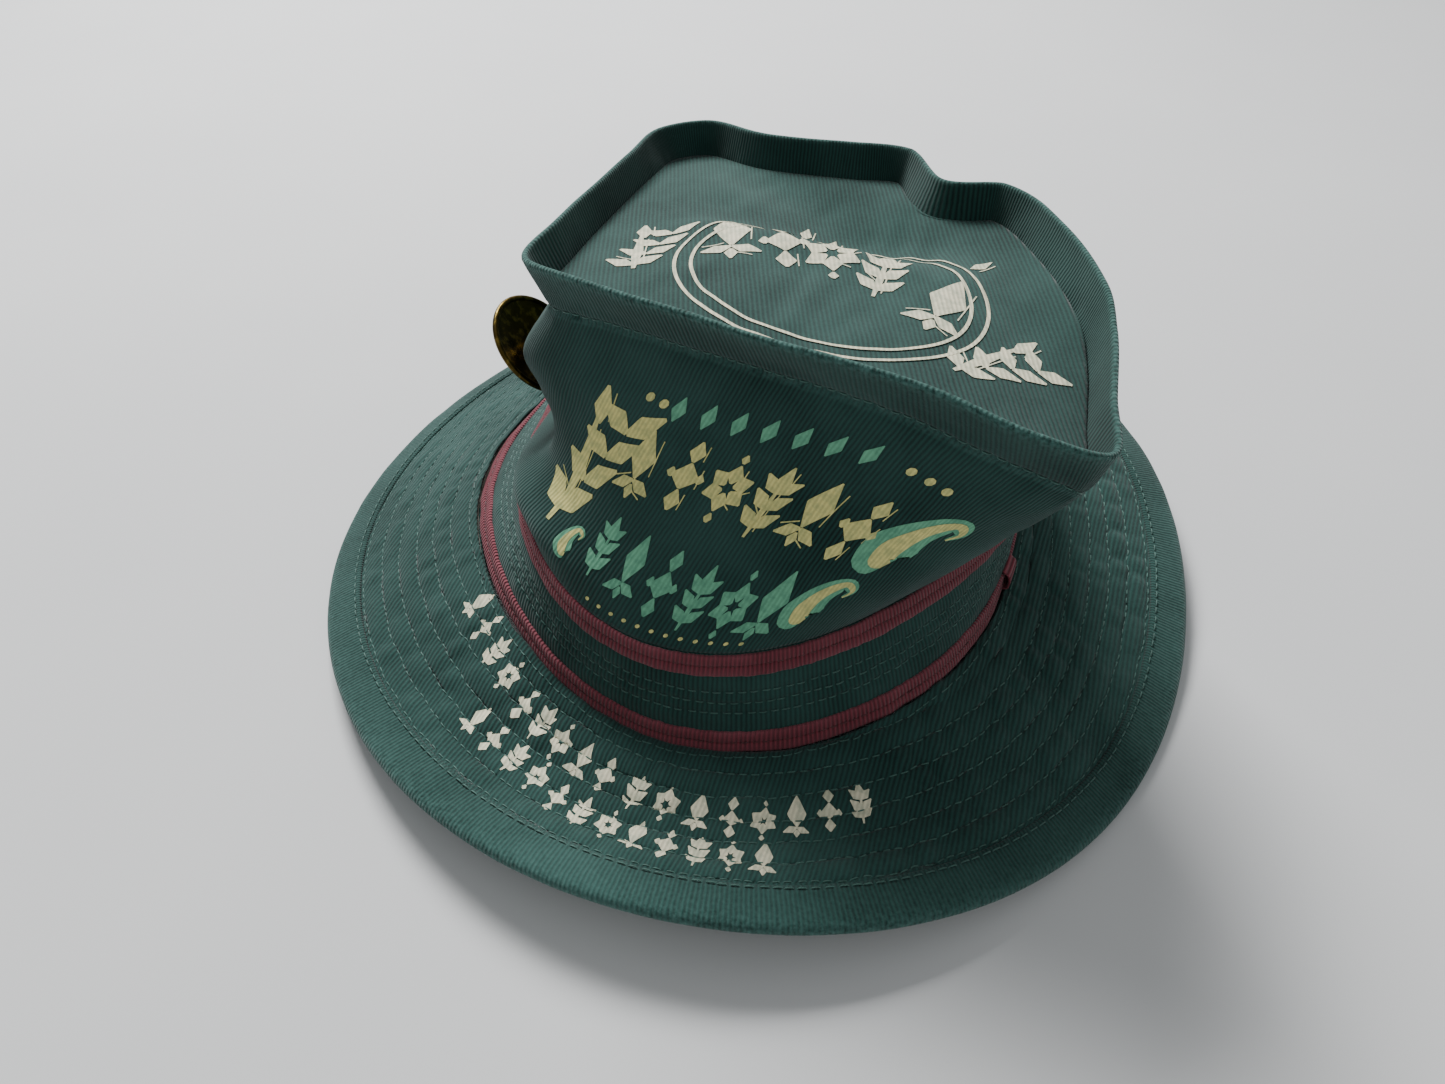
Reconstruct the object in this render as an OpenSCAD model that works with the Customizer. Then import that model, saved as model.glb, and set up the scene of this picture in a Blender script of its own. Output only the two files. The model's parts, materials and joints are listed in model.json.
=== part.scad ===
// Boonie hat, bucket pattern: quilted brim, taped band, stand-up crown rim, swivel badge.
// Millimetres. +Z up, -Y is the wearer's front, +X the wearer's left.
// The origin is under the middle of the brim, on the surface that the hat stands on.

/* [Head opening] */
// Width of the opening across the head, at the lower tape
head_w = 172; // [150:1:200]
// Length of the opening, front to back
head_l = 200; // [175:1:225]
// Mean height of the lower tape above the table
seat_h = 25; // [22:1:40]

/* [Brim] */
// Reach of the brim from the lower tape to its edge, seen from above
brim_reach = 55; // [45:1:75]
// Width of the folded hem around the edge
hem_w = 12; // [8:0.5:15]
// Distance between two rows of quilting
row_pitch = 6.5; // [5:0.1:8]
// Number of quilting rows
row_count = 6; // [3:1:6]
// Depth of the valley across the front of the brim
valley = 6; // [0:0.5:8]

/* [Band and tapes] */
// Distance between the centre lines of the two tapes
tape_gap = 24; // [18:0.5:32]
// Width of each woven tape
tape_w = 6.5; // [4:0.5:10]
// Thickness of each woven tape
tape_t = 0.8; // [0.5:0.1:1.2]
// Height of the sweatband inside
sweat_h = 27; // [20:1:29]

/* [Crown] */
// Height of the crest above the table, over the middle of the hat
crest_h = 120; // [105:1:150]
// Size of the crest outline, 1 as cut
crest_size = 1; // [0.85:0.01:1.1]
// Slope of the crest towards the wearer's left
crest_rise_x = 0.04; // [0:0.01:0.1]
// Slope of the crest down towards the back
crest_fall_y = 0.07; // [0:0.01:0.2]
// Height of the folded stand-up rim
rim_h = 16; // [10:0.5:20]
// Outward flare of the rim over its own height
rim_flare = 5; // [0:0.5:7]
// How far below the crest the tip is sewn in
tip_drop = 11; // [8:0.5:15]
// Rise of the soft tip in its middle
tip_dome = 4; // [0:0.5:7]

/* [Cloth] */
// Thickness of the twill
cloth_t = 0.8; // [0.5:0.1:1]
// Thickness of the stiffener inside the brim
stiff_t = 0.8; // [0.5:0.1:1.5]
// Air between two layers that lie on each other
ply_gap = 0.08; // [0.05:0.01:0.15]
// Diameter of the sewing thread
thread_d = 0.5; // [0.3:0.1:0.8]

/* [Badge] */
// Diameter of the brass disc
badge_d = 32; // [24:1:36]
// Thickness of the disc's plate
badge_t = 0.8; // [0.6:0.1:1.2]
// Depth of the disc's dish
badge_dish = 2.2; // [1:0.1:3]
// Clear distance between the cloth and the disc
badge_gap = 4.4; // [3:0.5:6]
// Radius of the post that the disc turns on
post_r = 1.5; // [1:0.1:2]
// Radial clearance of the disc on its post
post_fit = 0.05; // [0.02:0.01:0.1]
// Azimuth of the badge on the crown
badge_az = 200; // [190:1:208]
// Angle by which the badge looks down from the cloth behind it
badge_dip = 24.9; // [3:0.1:33]

/* [Hidden] */

step_u = 6;                        // azimuth step of every cloth surface
seam_gap = 0.4;                    // air where two cut edges meet
seam_s = tape_w / 2 + 0.35;        // the brim starts this far below the lower tape's centre
band_top_s = tape_gap + tape_w / 2 + 0.35;
ply_top = stiff_t / 2 + ply_gap;   // underside of the brim's top cloth, from its middle surface
ply_out = ply_top + cloth_t;       // its upper side
hem_out = ply_out + ply_gap + cloth_t;
layer_in = 0.5;                    // the brim's layers stop this far inside the hem's fold
hem_bite = 0.37;                   // the hem is tilted where it rests, so it reaches less far down
U = [for (u = [0 : step_u : 359]) u];
rim_t = 2 * cloth_t + ply_gap;     // the rim is the wall cloth folded double
tuck = 20;                         // depth of the fold under the badge
tip_mid_x = 14;
tip_mid_y = -12;
tip_dent = 6;                      // soft hollow at the tip's back left
sweat_t = 0.7;
label_gap = 0.3;
sweat_top = sweat_h - seam_s;
badge_t_up = 0.62;                 // place of the badge up the crown wall
badge_turn = 7.2;                  // the badge looks this far to the front of the cloth behind it
cap_r = 3.2;                       // head that keeps the disc on its post
washer_r = 4.2;
washer_t = 0.6;
washer_in = 5.4;                   // the washer sits this far inside, where the cloth slants past it

// The hat lies as it was put down, so each ring of it is a plain oval with a few waves.
// A wave is [height, number of crests round the hat, azimuth of a crest].
seam_shape = [[1, 1, 200], [2.5, 3, 73]];
seam_waves = [[7, 1, 110], [2.5, 2, 10], [2.5, 4, 45]];
edge_shape = [[1.4, 2, 156], [2.5, 3, 79]];
edge_waves = [[2, 1, 0], [5, 2, 84], [3.5, 3, 32], [1.4, 4, 26]];
lean_waves = [[14, 1, 200], [12, 3, 195]];
edge_h = 8;                        // mean height of the brim's edge
band_lean = 20;                    // mean inward lean of the band, degrees
// Crest of the crown, seen from above: [azimuth on the band, x, y, dip below the crest plane].
crest = [[0, 90, 3, 6], [20, 75, 27, 2], [40, 56, 47, 0], [53, 37, 46, 1], [66, 23, 66, 0],
         [85, 3, 65, 0], [105, -24, 64, 0], [125, -47, 70, 0], [140, -60, 60, 0],
         [158, -61, 42, 0], [178, -59, 12, 0], [200, -55, -24, 0], [213, -50, -48, 0],
         [235, -21, -56, 0], [258, 14, -61, 2], [282, 50, -63, 5], [305, 85, -66, 11],
         [320, 102, -60, 16], [333, 100, -37, 15], [346, 96, -13, 11]];

function wave(u, w) = w == [] ? 0 : sum([for (k = w) k[0] * cos(k[1] * (u - k[2]))]);
function sum(v, i = 0) = i >= len(v) ? 0 : v[i] + sum(v, i + 1);
function turn(u) = u - 360 * floor(u / 360);
function apart(u, c) = let (d = turn(u - c)) d > 180 ? d - 360 : d;
function bump(d, w) = abs(d) < w ? pow(cos(90 * d / w), 2) : 0;
function oval(u, a, b) = a * b / sqrt(pow(b * cos(u), 2) + pow(a * sin(u), 2));
function out(u) = [cos(u), sin(u), 0];
function unit(v) = v / norm(v);
function mix(a, b, t) = a + (b - a) * t;

// Lower tape's centre line, the lean of the band there, and the brim's edge
function seam_at(u) = (oval(u, head_w / 2, head_l / 2) + wave(u, seam_shape)) * out(u)
    + [0, 0, seat_h + wave(u, seam_waves)];
function lean_at(u) = band_lean + wave(u, lean_waves);
function edge_at(u) = (oval(u, head_w / 2 + brim_reach, head_l / 2 + brim_reach)
    + wave(u, edge_shape)) * out(u)
    + [0, 0, edge_h + wave(u, edge_waves) - 7 * bump(apart(u, 90), 100)];

// The hat is moved as one, so that its lowest hem rests at z = 0 and the brim is centred
edge_pts = [for (u = U) edge_at(u)];
xs = [for (p = edge_pts) p.x];
ys = [for (p = edge_pts) p.y];
zs = [for (p = edge_pts) p.z];
home = [-(max(xs) + min(xs)) / 2, -(max(ys) + min(ys)) / 2, hem_out - hem_bite - min(zs)];

// Every surface is f(u, s) with u the azimuth and s a distance in mm along the cloth
function band(u, s) = home + seam_at(u) + s * (cos(lean_at(u)) * [0, 0, 1] - sin(lean_at(u)) * out(u));
function brim_len(u) = norm(edge_at(u) + home - band(u, -seam_s));
function brim(u, d) = let (        // d is the distance inside the edge
        len = brim_len(u), t = 1 - d / len, hump = sin(180 * min(1, max(0, t))))
    mix(band(u, -seam_s), edge_at(u) + home, t)
    - [0, 0, valley * bump(apart(u, 272), 75) * hump * hump]
    + [0, 0, 1.5 * bump(apart(u, 90), 90) * hump];

// Closed curve through the crest's points
function crest_i(u) = max([for (i = [0 : len(crest) - 1]) crest[i][0] <= u ? i : 0]);
function crest_pt(i) = let (n = len(crest), k = i - n * floor(i / n)) crest[k];
function crest_az(i) = let (n = len(crest)) crest_pt(i)[0] + 360 * floor(i / n);
function crest_xyz(i) = let (c = crest_pt(i), x = c[1] * crest_size, y = c[2] * crest_size)
    home + [x, y, crest_h + crest_rise_x * x - crest_fall_y * y - c[3]];
function slope(i) = (crest_xyz(i + 1) - crest_xyz(i - 1)) / (crest_az(i + 1) - crest_az(i - 1));
function crest_at(a) = let (
        u = turn(a), i = crest_i(u), h = crest_az(i + 1) - crest_az(i), t = (u - crest_az(i)) / h)
    (2 * t * t * t - 3 * t * t + 1) * crest_xyz(i) + (t * t * t - 2 * t * t + t) * h * slope(i)
    + (3 * t * t - 2 * t * t * t) * crest_xyz(i + 1) + (t * t * t - t * t) * h * slope(i + 1);
function crest_out(u) = let (t = crest_at(u + 2) - crest_at(u - 2)) unit([t.y, -t.x, 0]);
function rim_down(u) = let (f = rim_flare + 2 * bump(apart(u, 265), 60))
    unit(-f * crest_out(u) - [0, 0, sqrt(rim_h * rim_h - f * f)]);
function rim(u, s) = crest_at(u) + (rim_h - s) * rim_down(u);      // s is the height up the rim

// Crown wall: t runs from the band (0) to the rim's stitching (1); it buckles where it slumps
function buckle(u, t) =
      7 * bump(apart(u, 226), 45) * bump(t - 0.12, 0.16)
    - tuck * bump(apart(u, 200), 34) * bump(t - 0.28, 0.26)
    + 7 * bump(apart(u, 200), 45) * bump(t - 0.74, 0.3)
    - 5 * bump(apart(u, 272), 60) * bump(t - 0.6, 0.5)
    + 4 * bump(apart(u, 90), 100) * bump(t - 0.5, 0.5);
function wall(u, t) = mix(band(u, band_top_s), rim(u, 0), t) + buckle(u, t) * out(u);

// Tip: w runs from its middle (0) to its sewn edge (1)
function tip_edge(u) = over(rim_f, u, rim_h - tip_drop, -rim_t - 2 * seam_gap);
function tip_mid() = let (c = home + [tip_mid_x, tip_mid_y, 0])
    [c.x, c.y, home.z + crest_h - tip_drop + crest_rise_x * tip_mid_x - crest_fall_y * tip_mid_y];
function tip(u, w) = mix(tip_mid(), tip_edge(u), w)
    + [0, 0, tip_dome * (1 - w * w) - tip_dent * bump(apart(u, 85), 60) * bump(w - 0.6, 0.4)];

// A surface's outward normal, and a point at height h over it
function normal(f, u, s, ds) = unit(cross(f(u + 1, s) - f(u - 1, s), f(u, s + ds) - f(u, s - ds)));
function over(f, u, s, h, ds = 0.5) = f(u, s) + h * normal(f, u, s, ds);

// Solid between closed loops of points, each loop with the same number of points.
// A ring goes round to its start; an open run is closed by flat strips at its ends.
// back(j) says which sides of the loop run the other way, so that plies keep the same facets.
module loft(loops, ring = true, back = undef) {
    n = len(loops);
    m = len(loops[0]);
    function id(i, j) = (i % n) * m + (j % m);
    function flip(j) = is_undef(back) ? j >= m / 2 : back(j);
    sides = [for (i = [0 : n - (ring ? 1 : 2)], j = [0 : m - 1])
        let (a = id(i, j), b = id(i + 1, j), c = id(i + 1, j + 1), d = id(i, j + 1))
        each flip(j) ? [[a, d, b], [b, d, c]] : [[a, c, b], [a, d, c]]];
    e = m * (n - 1);
    ends = ring ? [] : [for (k = [0 : m / 2 - 2])
        let (a = k, b = k + 1, c = m - 2 - k, d = m - 1 - k)
        each [[a, c, b], [a, d, c], [e + a, e + b, e + c], [e + a, e + c, e + d]]];
    polyhedron(points = [for (l = loops) each l], faces = concat(sides, ends));
}

// Cloth between the heights h0 and h1 over surface f, at the stations S and the azimuths A
module sheet(f, S, h0, h1, A = U, ring = true, ds = 0.5)
    loft([for (u = A) concat([for (s = S) over(f, u, s, h1, ds)],
                             [for (k = [len(S) - 1 : -1 : 0]) over(f, u, S[k], h0, ds)])], ring);

// One row of sewing thread lying at height h on surface f along the station s
module thread(f, s, h) {
    r = thread_d / 2;
    loft([for (u = U) let (p = over(f, u, s, h + r), up = normal(f, u, s, 0.5),
                           side = cross(up, unit(f(u + 1, s) - f(u - 1, s))))
        [p + r * up, p + r * side - 0.9 * r * up, p - r * side - 0.9 * r * up]]);
}

brim_f = function (u, d) brim(u, d);
band_f = function (u, s) band(u, s);
rim_f = function (u, s) rim(u, s);
wall_f = function (u, t) wall(u, t);

rows = [for (i = [0 : row_count - 1]) hem_w + 1 + i * row_pitch];
band_rows = [tape_gap / 2 - 3, tape_gap / 2 + 3];
band_stations = [-seam_s + 0.3, -tape_w / 2, tape_w / 2, band_rows[0], band_rows[1],
                 tape_gap - tape_w / 2, tape_gap + tape_w / 2, band_top_s - 0.2];
sweat_stations = [for (s = concat([for (b = band_stations) if (b < sweat_top - 1) b], [sweat_top])) s];
wall_stations = [0.006, 0.07, 0.14, 0.21, 0.28, 0.37, 0.48, 0.6, 0.74, 0.87, 0.99];
front_az = [for (i = [0 : 30]) mix(180.4, 359.6, i / 30)];
back_az = [for (i = [0 : 30]) mix(0.4, 179.6, i / 30)];
twill = [0.13, 0.31, 0.28];
maroon = [0.45, 0.17, 0.20];
brass = [0.45, 0.36, 0.16];

module brim_layer(h0, h1) {
    loft([for (u = U) let (
            last = brim_len(u) - 1.4,
            S = concat([layer_in, hem_w / 2, hem_w], rows, [mix(rows[row_count - 1], last, 0.5), last]))
        concat([for (d = S) over(brim_f, u, d, h1)],
               [for (k = [len(S) - 1 : -1 : 0]) over(brim_f, u, S[k], h0)])]);
}
module brim_top() color(twill) brim_layer(ply_top, ply_out);
module brim_stiffener() color("ivory") brim_layer(-stiff_t / 2, stiff_t / 2);
module brim_under() color(twill) brim_layer(-ply_out, -ply_top);

// The hem is one strip folded round the edge: under, round, over, and back inside
module brim_hem() {
    inner = ply_out + ply_gap;
    color(twill) loft([for (u = U) concat(
        [for (d = [hem_w, hem_w / 2, 1]) over(brim_f, u, d, -hem_out)],
        [for (k = [-0.7, 0.7]) over(brim_f, u, -0.6, k * hem_out)],
        [for (d = [1, hem_w / 2, hem_w]) over(brim_f, u, d, hem_out)],
        [for (d = [hem_w, hem_w / 2, 0.3]) over(brim_f, u, d, inner)],
        [for (d = [0.3, hem_w / 2, hem_w]) over(brim_f, u, d, -inner)])],
        back = function (j) j < 4 || (j > 7 && j < 11));
}
module brim_quilting() color("teal") for (d = rows) thread(brim_f, d, ply_out + ply_gap / 2);
module hem_stitching() color("teal") thread(brim_f, hem_w / 2 * 1.7, hem_out + ply_gap / 2);

module base_band() color(twill) sheet(band_f, band_stations, -cloth_t, 0);
module band_stitching() color("teal") for (s = band_rows) thread(band_f, s, ply_gap / 2);
module tape(s) sheet(band_f, [s - tape_w / 2, s + tape_w / 2], ply_gap, ply_gap + tape_t);
module lower_tape() color(maroon) tape(0);
module upper_tape() color(maroon) tape(tape_gap);
module tape_stitching() color(maroon)
    for (s = [0, tape_gap]) thread(band_f, s - tape_w / 6, tape_t + 3 * ply_gap);

// A short loop of the same tape that stands over the lower tape's end
module tape_keeper() {
    low = ply_gap + tape_t + thread_d + 0.4;
    color(maroon) loft([for (u = [351 : 1 : 355]) concat(
        [for (p = [[-1.5, low], [-1.3, low + 1.4], [3.4, low + 1.4], [5, 1.2]])
            over(band_f, u, p[0], p[1])],
        [for (p = [[5, 0.4], [3.2, low + 0.6], [-0.9, low + 0.6], [-0.9, low]])
            over(band_f, u, p[0], p[1])])], ring = false);
}

sweat_in = cloth_t + ply_gap;
module sweatband() color("black") sheet(band_f, sweat_stations, -sweat_in - sweat_t, -sweat_in);
module sweatband_binding() color(maroon)
    sheet(band_f, [sweat_top - 4, sweat_top], -sweat_in - sweat_t - ply_gap - 0.5,
          -sweat_in - sweat_t - ply_gap);
module label(az) color("white")
    sheet(band_f, [4, band_rows[0], band_rows[1], 17], -sweat_in - sweat_t - 2 * label_gap,
          -sweat_in - sweat_t - label_gap, az, false);
module size_label() label([84, 90, 96]);
module care_label() label([60, 66, 72, 78]);

module crown_panel(az) sheet(wall_f, wall_stations, -cloth_t, 0, az, false, 0.01);
module crown_front() color(twill) difference() {
    crown_panel(front_az);
    at_badge() cylinder(h = 8, r = post_r + 0.3, center = true, $fn = 32);
}
module crown_back() color(twill) crown_panel(back_az);
module side_binding(az) sheet(wall_f, wall_stations, -cloth_t - 2 * seam_gap, -cloth_t - seam_gap,
    [for (k = [-3, 0, 3]) az + k], false, 0.01);
module side_seam_binding_left() color(maroon) side_binding(0);
module side_seam_binding_right() color(maroon) side_binding(180);

// The wall cloth is folded over at the crest and sewn to itself at the foot of the rim
module crown_rim() color(twill) loft([for (u = U) concat(
    [for (s = [0, rim_h / 2, rim_h - 0.8]) over(rim_f, u, s, 0)],
    [over(rim_f, u, rim_h, -rim_t / 2)],
    [for (s = [rim_h - 0.8, rim_h / 2, 0]) over(rim_f, u, s, -rim_t)])],
    back = function (j) j > 3);
module rim_topstitch() color("teal") thread(rim_f, 1, ply_gap / 2);

module crown_tip() {
    W = [0.25, 0.5, 0.75, 0.9, 1];
    n = len(U);
    m = len(W);
    top = [for (u = U, w = W) tip(u, w)];
    low = [for (p = top) p - [0, 0, cloth_t]];
    function id(i, j) = 2 + (i % n) * m + j;
    k = n * m;
    faces = [for (i = [0 : n - 1]) each concat(
        [[0, id(i + 1, 0), id(i, 0)], [1, id(i, 0) + k, id(i + 1, 0) + k]],
        [for (j = [0 : m - 2]) let (a = id(i, j), b = id(i + 1, j), c = id(i + 1, j + 1), d = id(i, j + 1))
            each [[a, b, c], [a, c, d], [a + k, c + k, b + k], [a + k, d + k, c + k]]],
        [let (a = id(i, m - 1), b = id(i + 1, m - 1)) each [[a, b, b + k], [a, b + k, a + k]]])];
    color(twill) polyhedron(
        points = concat([tip(0, 0), tip(0, 0) - [0, 0, cloth_t]], top, low), faces = faces);
}
module tip_seam_binding() color(maroon)
    sheet(rim_f, [0.3, rim_h - tip_drop - cloth_t - 0.6], -rim_t - ply_gap - 0.8, -rim_t - ply_gap);

// The badge sits on the crown's right side and looks out and down from the cloth behind it
badge_side = wall(badge_az + 1, badge_t_up) - wall(badge_az - 1, badge_t_up);
badge_rise = wall(badge_az, badge_t_up + 0.01) - wall(badge_az, badge_t_up - 0.01);
badge_out = cross(badge_side, badge_rise);
badge_yaw = turn(atan2(badge_out.y, badge_out.x) - badge_turn);
badge_pitch = badge_dip - asin(badge_out.z / norm(badge_out));
module at_badge(h = 0)
    translate(wall(badge_az, badge_t_up)) rotate([0, 90 + badge_pitch, badge_yaw]) translate([0, 0, h])
        children();
function dish(r) = badge_dish * (1 - pow(r / (badge_d / 2), 2));
module badge_disc() color(brass) at_badge(badge_gap) rotate_extrude($fn = 96) {
    bore = post_r + post_fit;
    R = badge_d / 2 - 0.9;
    polygon(concat(
        [for (i = [0 : 8]) let (r = mix(bore, R, i / 8)) [r, dish(r)]],
        [for (i = [8 : -1 : 0]) let (r = mix(bore, R, i / 8)) [r, dish(r) + badge_t]]));
    translate([R, dish(R) + badge_t / 2]) circle(r = 0.9, $fn = 24);
}
module badge_post() color(brass) at_badge() {
    translate([0, 0, -washer_in - washer_t - 0.3])
        cylinder(h = washer_in + washer_t + 0.6 + badge_gap + dish(0) + badge_t, r = post_r, $fn = 48);
    translate([0, 0, 1.8]) cylinder(h = badge_gap + dish(0) - 1.95, r = post_r + 1.1, $fn = 48);
}
module badge_cap() color(brass) at_badge(badge_gap + dish(0) + badge_t + 0.35)
    rotate_extrude($fn = 64) polygon(concat([[0, 0], [cap_r, 0]],
        [for (a = [0 : 10 : 90]) [cap_r * cos(a), 0.3 + 1.2 * sin(a)]]));
module badge_washer() color(brass) at_badge(-washer_in - washer_t)
    difference() {
        cylinder(h = washer_t, r = washer_r, $fn = 64);
        translate([0, 0, -1]) cylinder(h = washer_t + 2, r = post_r + post_fit, $fn = 64);
    }

brim_top();
brim_stiffener();
brim_under();
brim_hem();
brim_quilting();
hem_stitching();
base_band();
band_stitching();
lower_tape();
upper_tape();
tape_stitching();
tape_keeper();
sweatband();
sweatband_binding();
size_label();
care_label();
crown_front();
crown_back();
side_seam_binding_left();
side_seam_binding_right();
crown_rim();
rim_topstitch();
crown_tip();
tip_seam_binding();
badge_disc();
badge_post();
badge_cap();
badge_washer();
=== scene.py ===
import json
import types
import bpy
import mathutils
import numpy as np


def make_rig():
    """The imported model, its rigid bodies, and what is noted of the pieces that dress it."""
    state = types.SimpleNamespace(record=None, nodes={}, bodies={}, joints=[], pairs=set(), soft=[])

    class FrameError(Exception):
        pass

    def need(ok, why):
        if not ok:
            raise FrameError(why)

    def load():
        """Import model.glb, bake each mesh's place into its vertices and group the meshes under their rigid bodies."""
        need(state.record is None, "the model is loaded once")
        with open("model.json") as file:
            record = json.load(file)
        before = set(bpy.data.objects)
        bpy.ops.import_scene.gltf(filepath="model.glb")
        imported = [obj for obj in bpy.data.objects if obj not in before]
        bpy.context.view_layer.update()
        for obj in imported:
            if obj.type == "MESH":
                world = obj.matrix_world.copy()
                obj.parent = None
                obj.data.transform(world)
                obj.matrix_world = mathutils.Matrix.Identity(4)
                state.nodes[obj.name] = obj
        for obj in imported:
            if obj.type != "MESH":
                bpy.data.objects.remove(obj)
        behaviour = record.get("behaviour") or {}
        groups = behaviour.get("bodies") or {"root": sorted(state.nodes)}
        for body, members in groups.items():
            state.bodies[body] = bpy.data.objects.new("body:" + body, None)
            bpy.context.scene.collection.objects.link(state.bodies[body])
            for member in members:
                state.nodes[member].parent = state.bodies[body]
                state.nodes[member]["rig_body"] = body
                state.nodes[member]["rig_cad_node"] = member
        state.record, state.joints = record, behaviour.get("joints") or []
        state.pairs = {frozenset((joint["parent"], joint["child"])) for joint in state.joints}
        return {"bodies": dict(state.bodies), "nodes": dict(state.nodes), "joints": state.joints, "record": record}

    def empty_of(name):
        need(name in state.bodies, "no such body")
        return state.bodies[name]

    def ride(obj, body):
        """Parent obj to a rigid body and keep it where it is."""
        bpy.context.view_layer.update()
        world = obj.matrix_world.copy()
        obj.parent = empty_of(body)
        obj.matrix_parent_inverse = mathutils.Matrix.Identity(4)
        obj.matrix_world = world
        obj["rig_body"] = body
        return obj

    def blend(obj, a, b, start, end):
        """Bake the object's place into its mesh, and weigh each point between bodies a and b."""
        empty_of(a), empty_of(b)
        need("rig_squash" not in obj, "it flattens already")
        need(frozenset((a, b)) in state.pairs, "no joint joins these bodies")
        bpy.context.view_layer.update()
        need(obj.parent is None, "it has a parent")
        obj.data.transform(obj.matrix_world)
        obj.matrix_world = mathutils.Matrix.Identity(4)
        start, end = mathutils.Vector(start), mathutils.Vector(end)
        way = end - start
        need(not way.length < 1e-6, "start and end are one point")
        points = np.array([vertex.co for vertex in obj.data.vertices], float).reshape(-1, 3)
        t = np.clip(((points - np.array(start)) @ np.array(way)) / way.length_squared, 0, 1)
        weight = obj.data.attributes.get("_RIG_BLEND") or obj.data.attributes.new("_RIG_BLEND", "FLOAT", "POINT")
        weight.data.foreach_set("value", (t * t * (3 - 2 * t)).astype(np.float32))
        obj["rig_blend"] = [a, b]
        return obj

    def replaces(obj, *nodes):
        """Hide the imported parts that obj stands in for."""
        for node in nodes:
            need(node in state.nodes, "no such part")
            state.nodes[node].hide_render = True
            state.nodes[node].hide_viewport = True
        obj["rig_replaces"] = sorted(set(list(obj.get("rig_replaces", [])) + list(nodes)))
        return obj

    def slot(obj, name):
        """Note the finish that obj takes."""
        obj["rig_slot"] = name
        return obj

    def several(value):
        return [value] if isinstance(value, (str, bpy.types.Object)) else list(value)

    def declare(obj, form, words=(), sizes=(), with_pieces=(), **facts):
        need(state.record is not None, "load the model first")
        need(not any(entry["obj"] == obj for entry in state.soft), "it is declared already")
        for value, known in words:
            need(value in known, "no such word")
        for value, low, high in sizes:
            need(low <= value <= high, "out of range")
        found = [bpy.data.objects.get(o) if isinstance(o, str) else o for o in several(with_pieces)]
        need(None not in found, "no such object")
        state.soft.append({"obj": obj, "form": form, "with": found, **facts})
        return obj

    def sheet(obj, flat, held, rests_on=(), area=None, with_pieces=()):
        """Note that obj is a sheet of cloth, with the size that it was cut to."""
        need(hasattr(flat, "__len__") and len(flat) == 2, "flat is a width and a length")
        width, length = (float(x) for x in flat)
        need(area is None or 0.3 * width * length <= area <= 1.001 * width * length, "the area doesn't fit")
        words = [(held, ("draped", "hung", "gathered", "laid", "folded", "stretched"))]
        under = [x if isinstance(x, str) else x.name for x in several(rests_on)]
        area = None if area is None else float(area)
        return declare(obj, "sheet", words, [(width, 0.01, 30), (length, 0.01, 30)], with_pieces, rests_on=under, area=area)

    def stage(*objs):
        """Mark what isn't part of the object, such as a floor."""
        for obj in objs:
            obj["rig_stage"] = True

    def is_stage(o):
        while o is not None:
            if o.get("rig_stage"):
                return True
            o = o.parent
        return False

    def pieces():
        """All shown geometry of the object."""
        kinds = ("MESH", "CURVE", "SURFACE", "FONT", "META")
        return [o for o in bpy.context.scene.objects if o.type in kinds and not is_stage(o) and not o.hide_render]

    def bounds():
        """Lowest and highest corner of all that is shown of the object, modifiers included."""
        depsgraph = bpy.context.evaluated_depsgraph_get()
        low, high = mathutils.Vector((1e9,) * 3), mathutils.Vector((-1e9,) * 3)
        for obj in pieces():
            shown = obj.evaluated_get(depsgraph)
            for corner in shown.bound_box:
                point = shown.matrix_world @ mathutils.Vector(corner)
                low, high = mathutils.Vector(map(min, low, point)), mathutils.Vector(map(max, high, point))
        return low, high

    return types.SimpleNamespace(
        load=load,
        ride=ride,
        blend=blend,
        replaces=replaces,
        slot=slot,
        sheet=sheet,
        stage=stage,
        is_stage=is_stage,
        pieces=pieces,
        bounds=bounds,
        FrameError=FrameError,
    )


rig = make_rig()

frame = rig.load()

import json
import math

import bpy
import numpy as np
from mathutils import Matrix
from mathutils.bvhtree import BVHTree

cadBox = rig.bounds()

# Boonie hat in washed green twill. Azimuths are in degrees, 270 is the wearer's front.
# Cloth is worked out in millimetres, as a tailor would, and written to the meshes in metres.
mm = 0.001
around = np.arange(720) * 0.5

shape = dict(
    headWidth=172, headLength=200, seatHeight=25, brimReach=55, edgeHeight=8, bandLean=20,
    hemWidth=12, rowPitch=6.5, valley=6, tapeGap=24, tapeWidth=6.5, cloth=0.8, ply=0.08, stiffener=0.8,
    crestHeight=120, crestRise=0.04, crestFall=0.07, rimHeight=16, rimFlare=5, tuck=20, hemBite=0.37,
    tipDrop=11, tipDome=4, tipDent=6)
seamBelow = shape["tapeWidth"] / 2 + 0.35
bandTop = shape["tapeGap"] + seamBelow
plyOut = shape["stiffener"] / 2 + shape["ply"] + shape["cloth"]
hemOut = plyOut + shape["ply"] + shape["cloth"]
rimThick = 2 * shape["cloth"] + shape["ply"]

# Waves that the rings of the hat have, lying as it was put down: height, number round, azimuth of a crest
seamShape = [(1, 1, 200), (2.5, 3, 73)]
seamWaves = [(7, 1, 110), (2.5, 2, 10), (2.5, 4, 45)]
edgeShape = [(1.4, 2, 156), (2.5, 3, 79)]
edgeWaves = [(2, 1, 0), (5, 2, 84), (3.5, 3, 32), (1.4, 4, 26)]
leanWaves = [(14, 1, 200), (12, 3, 195)]
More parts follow.
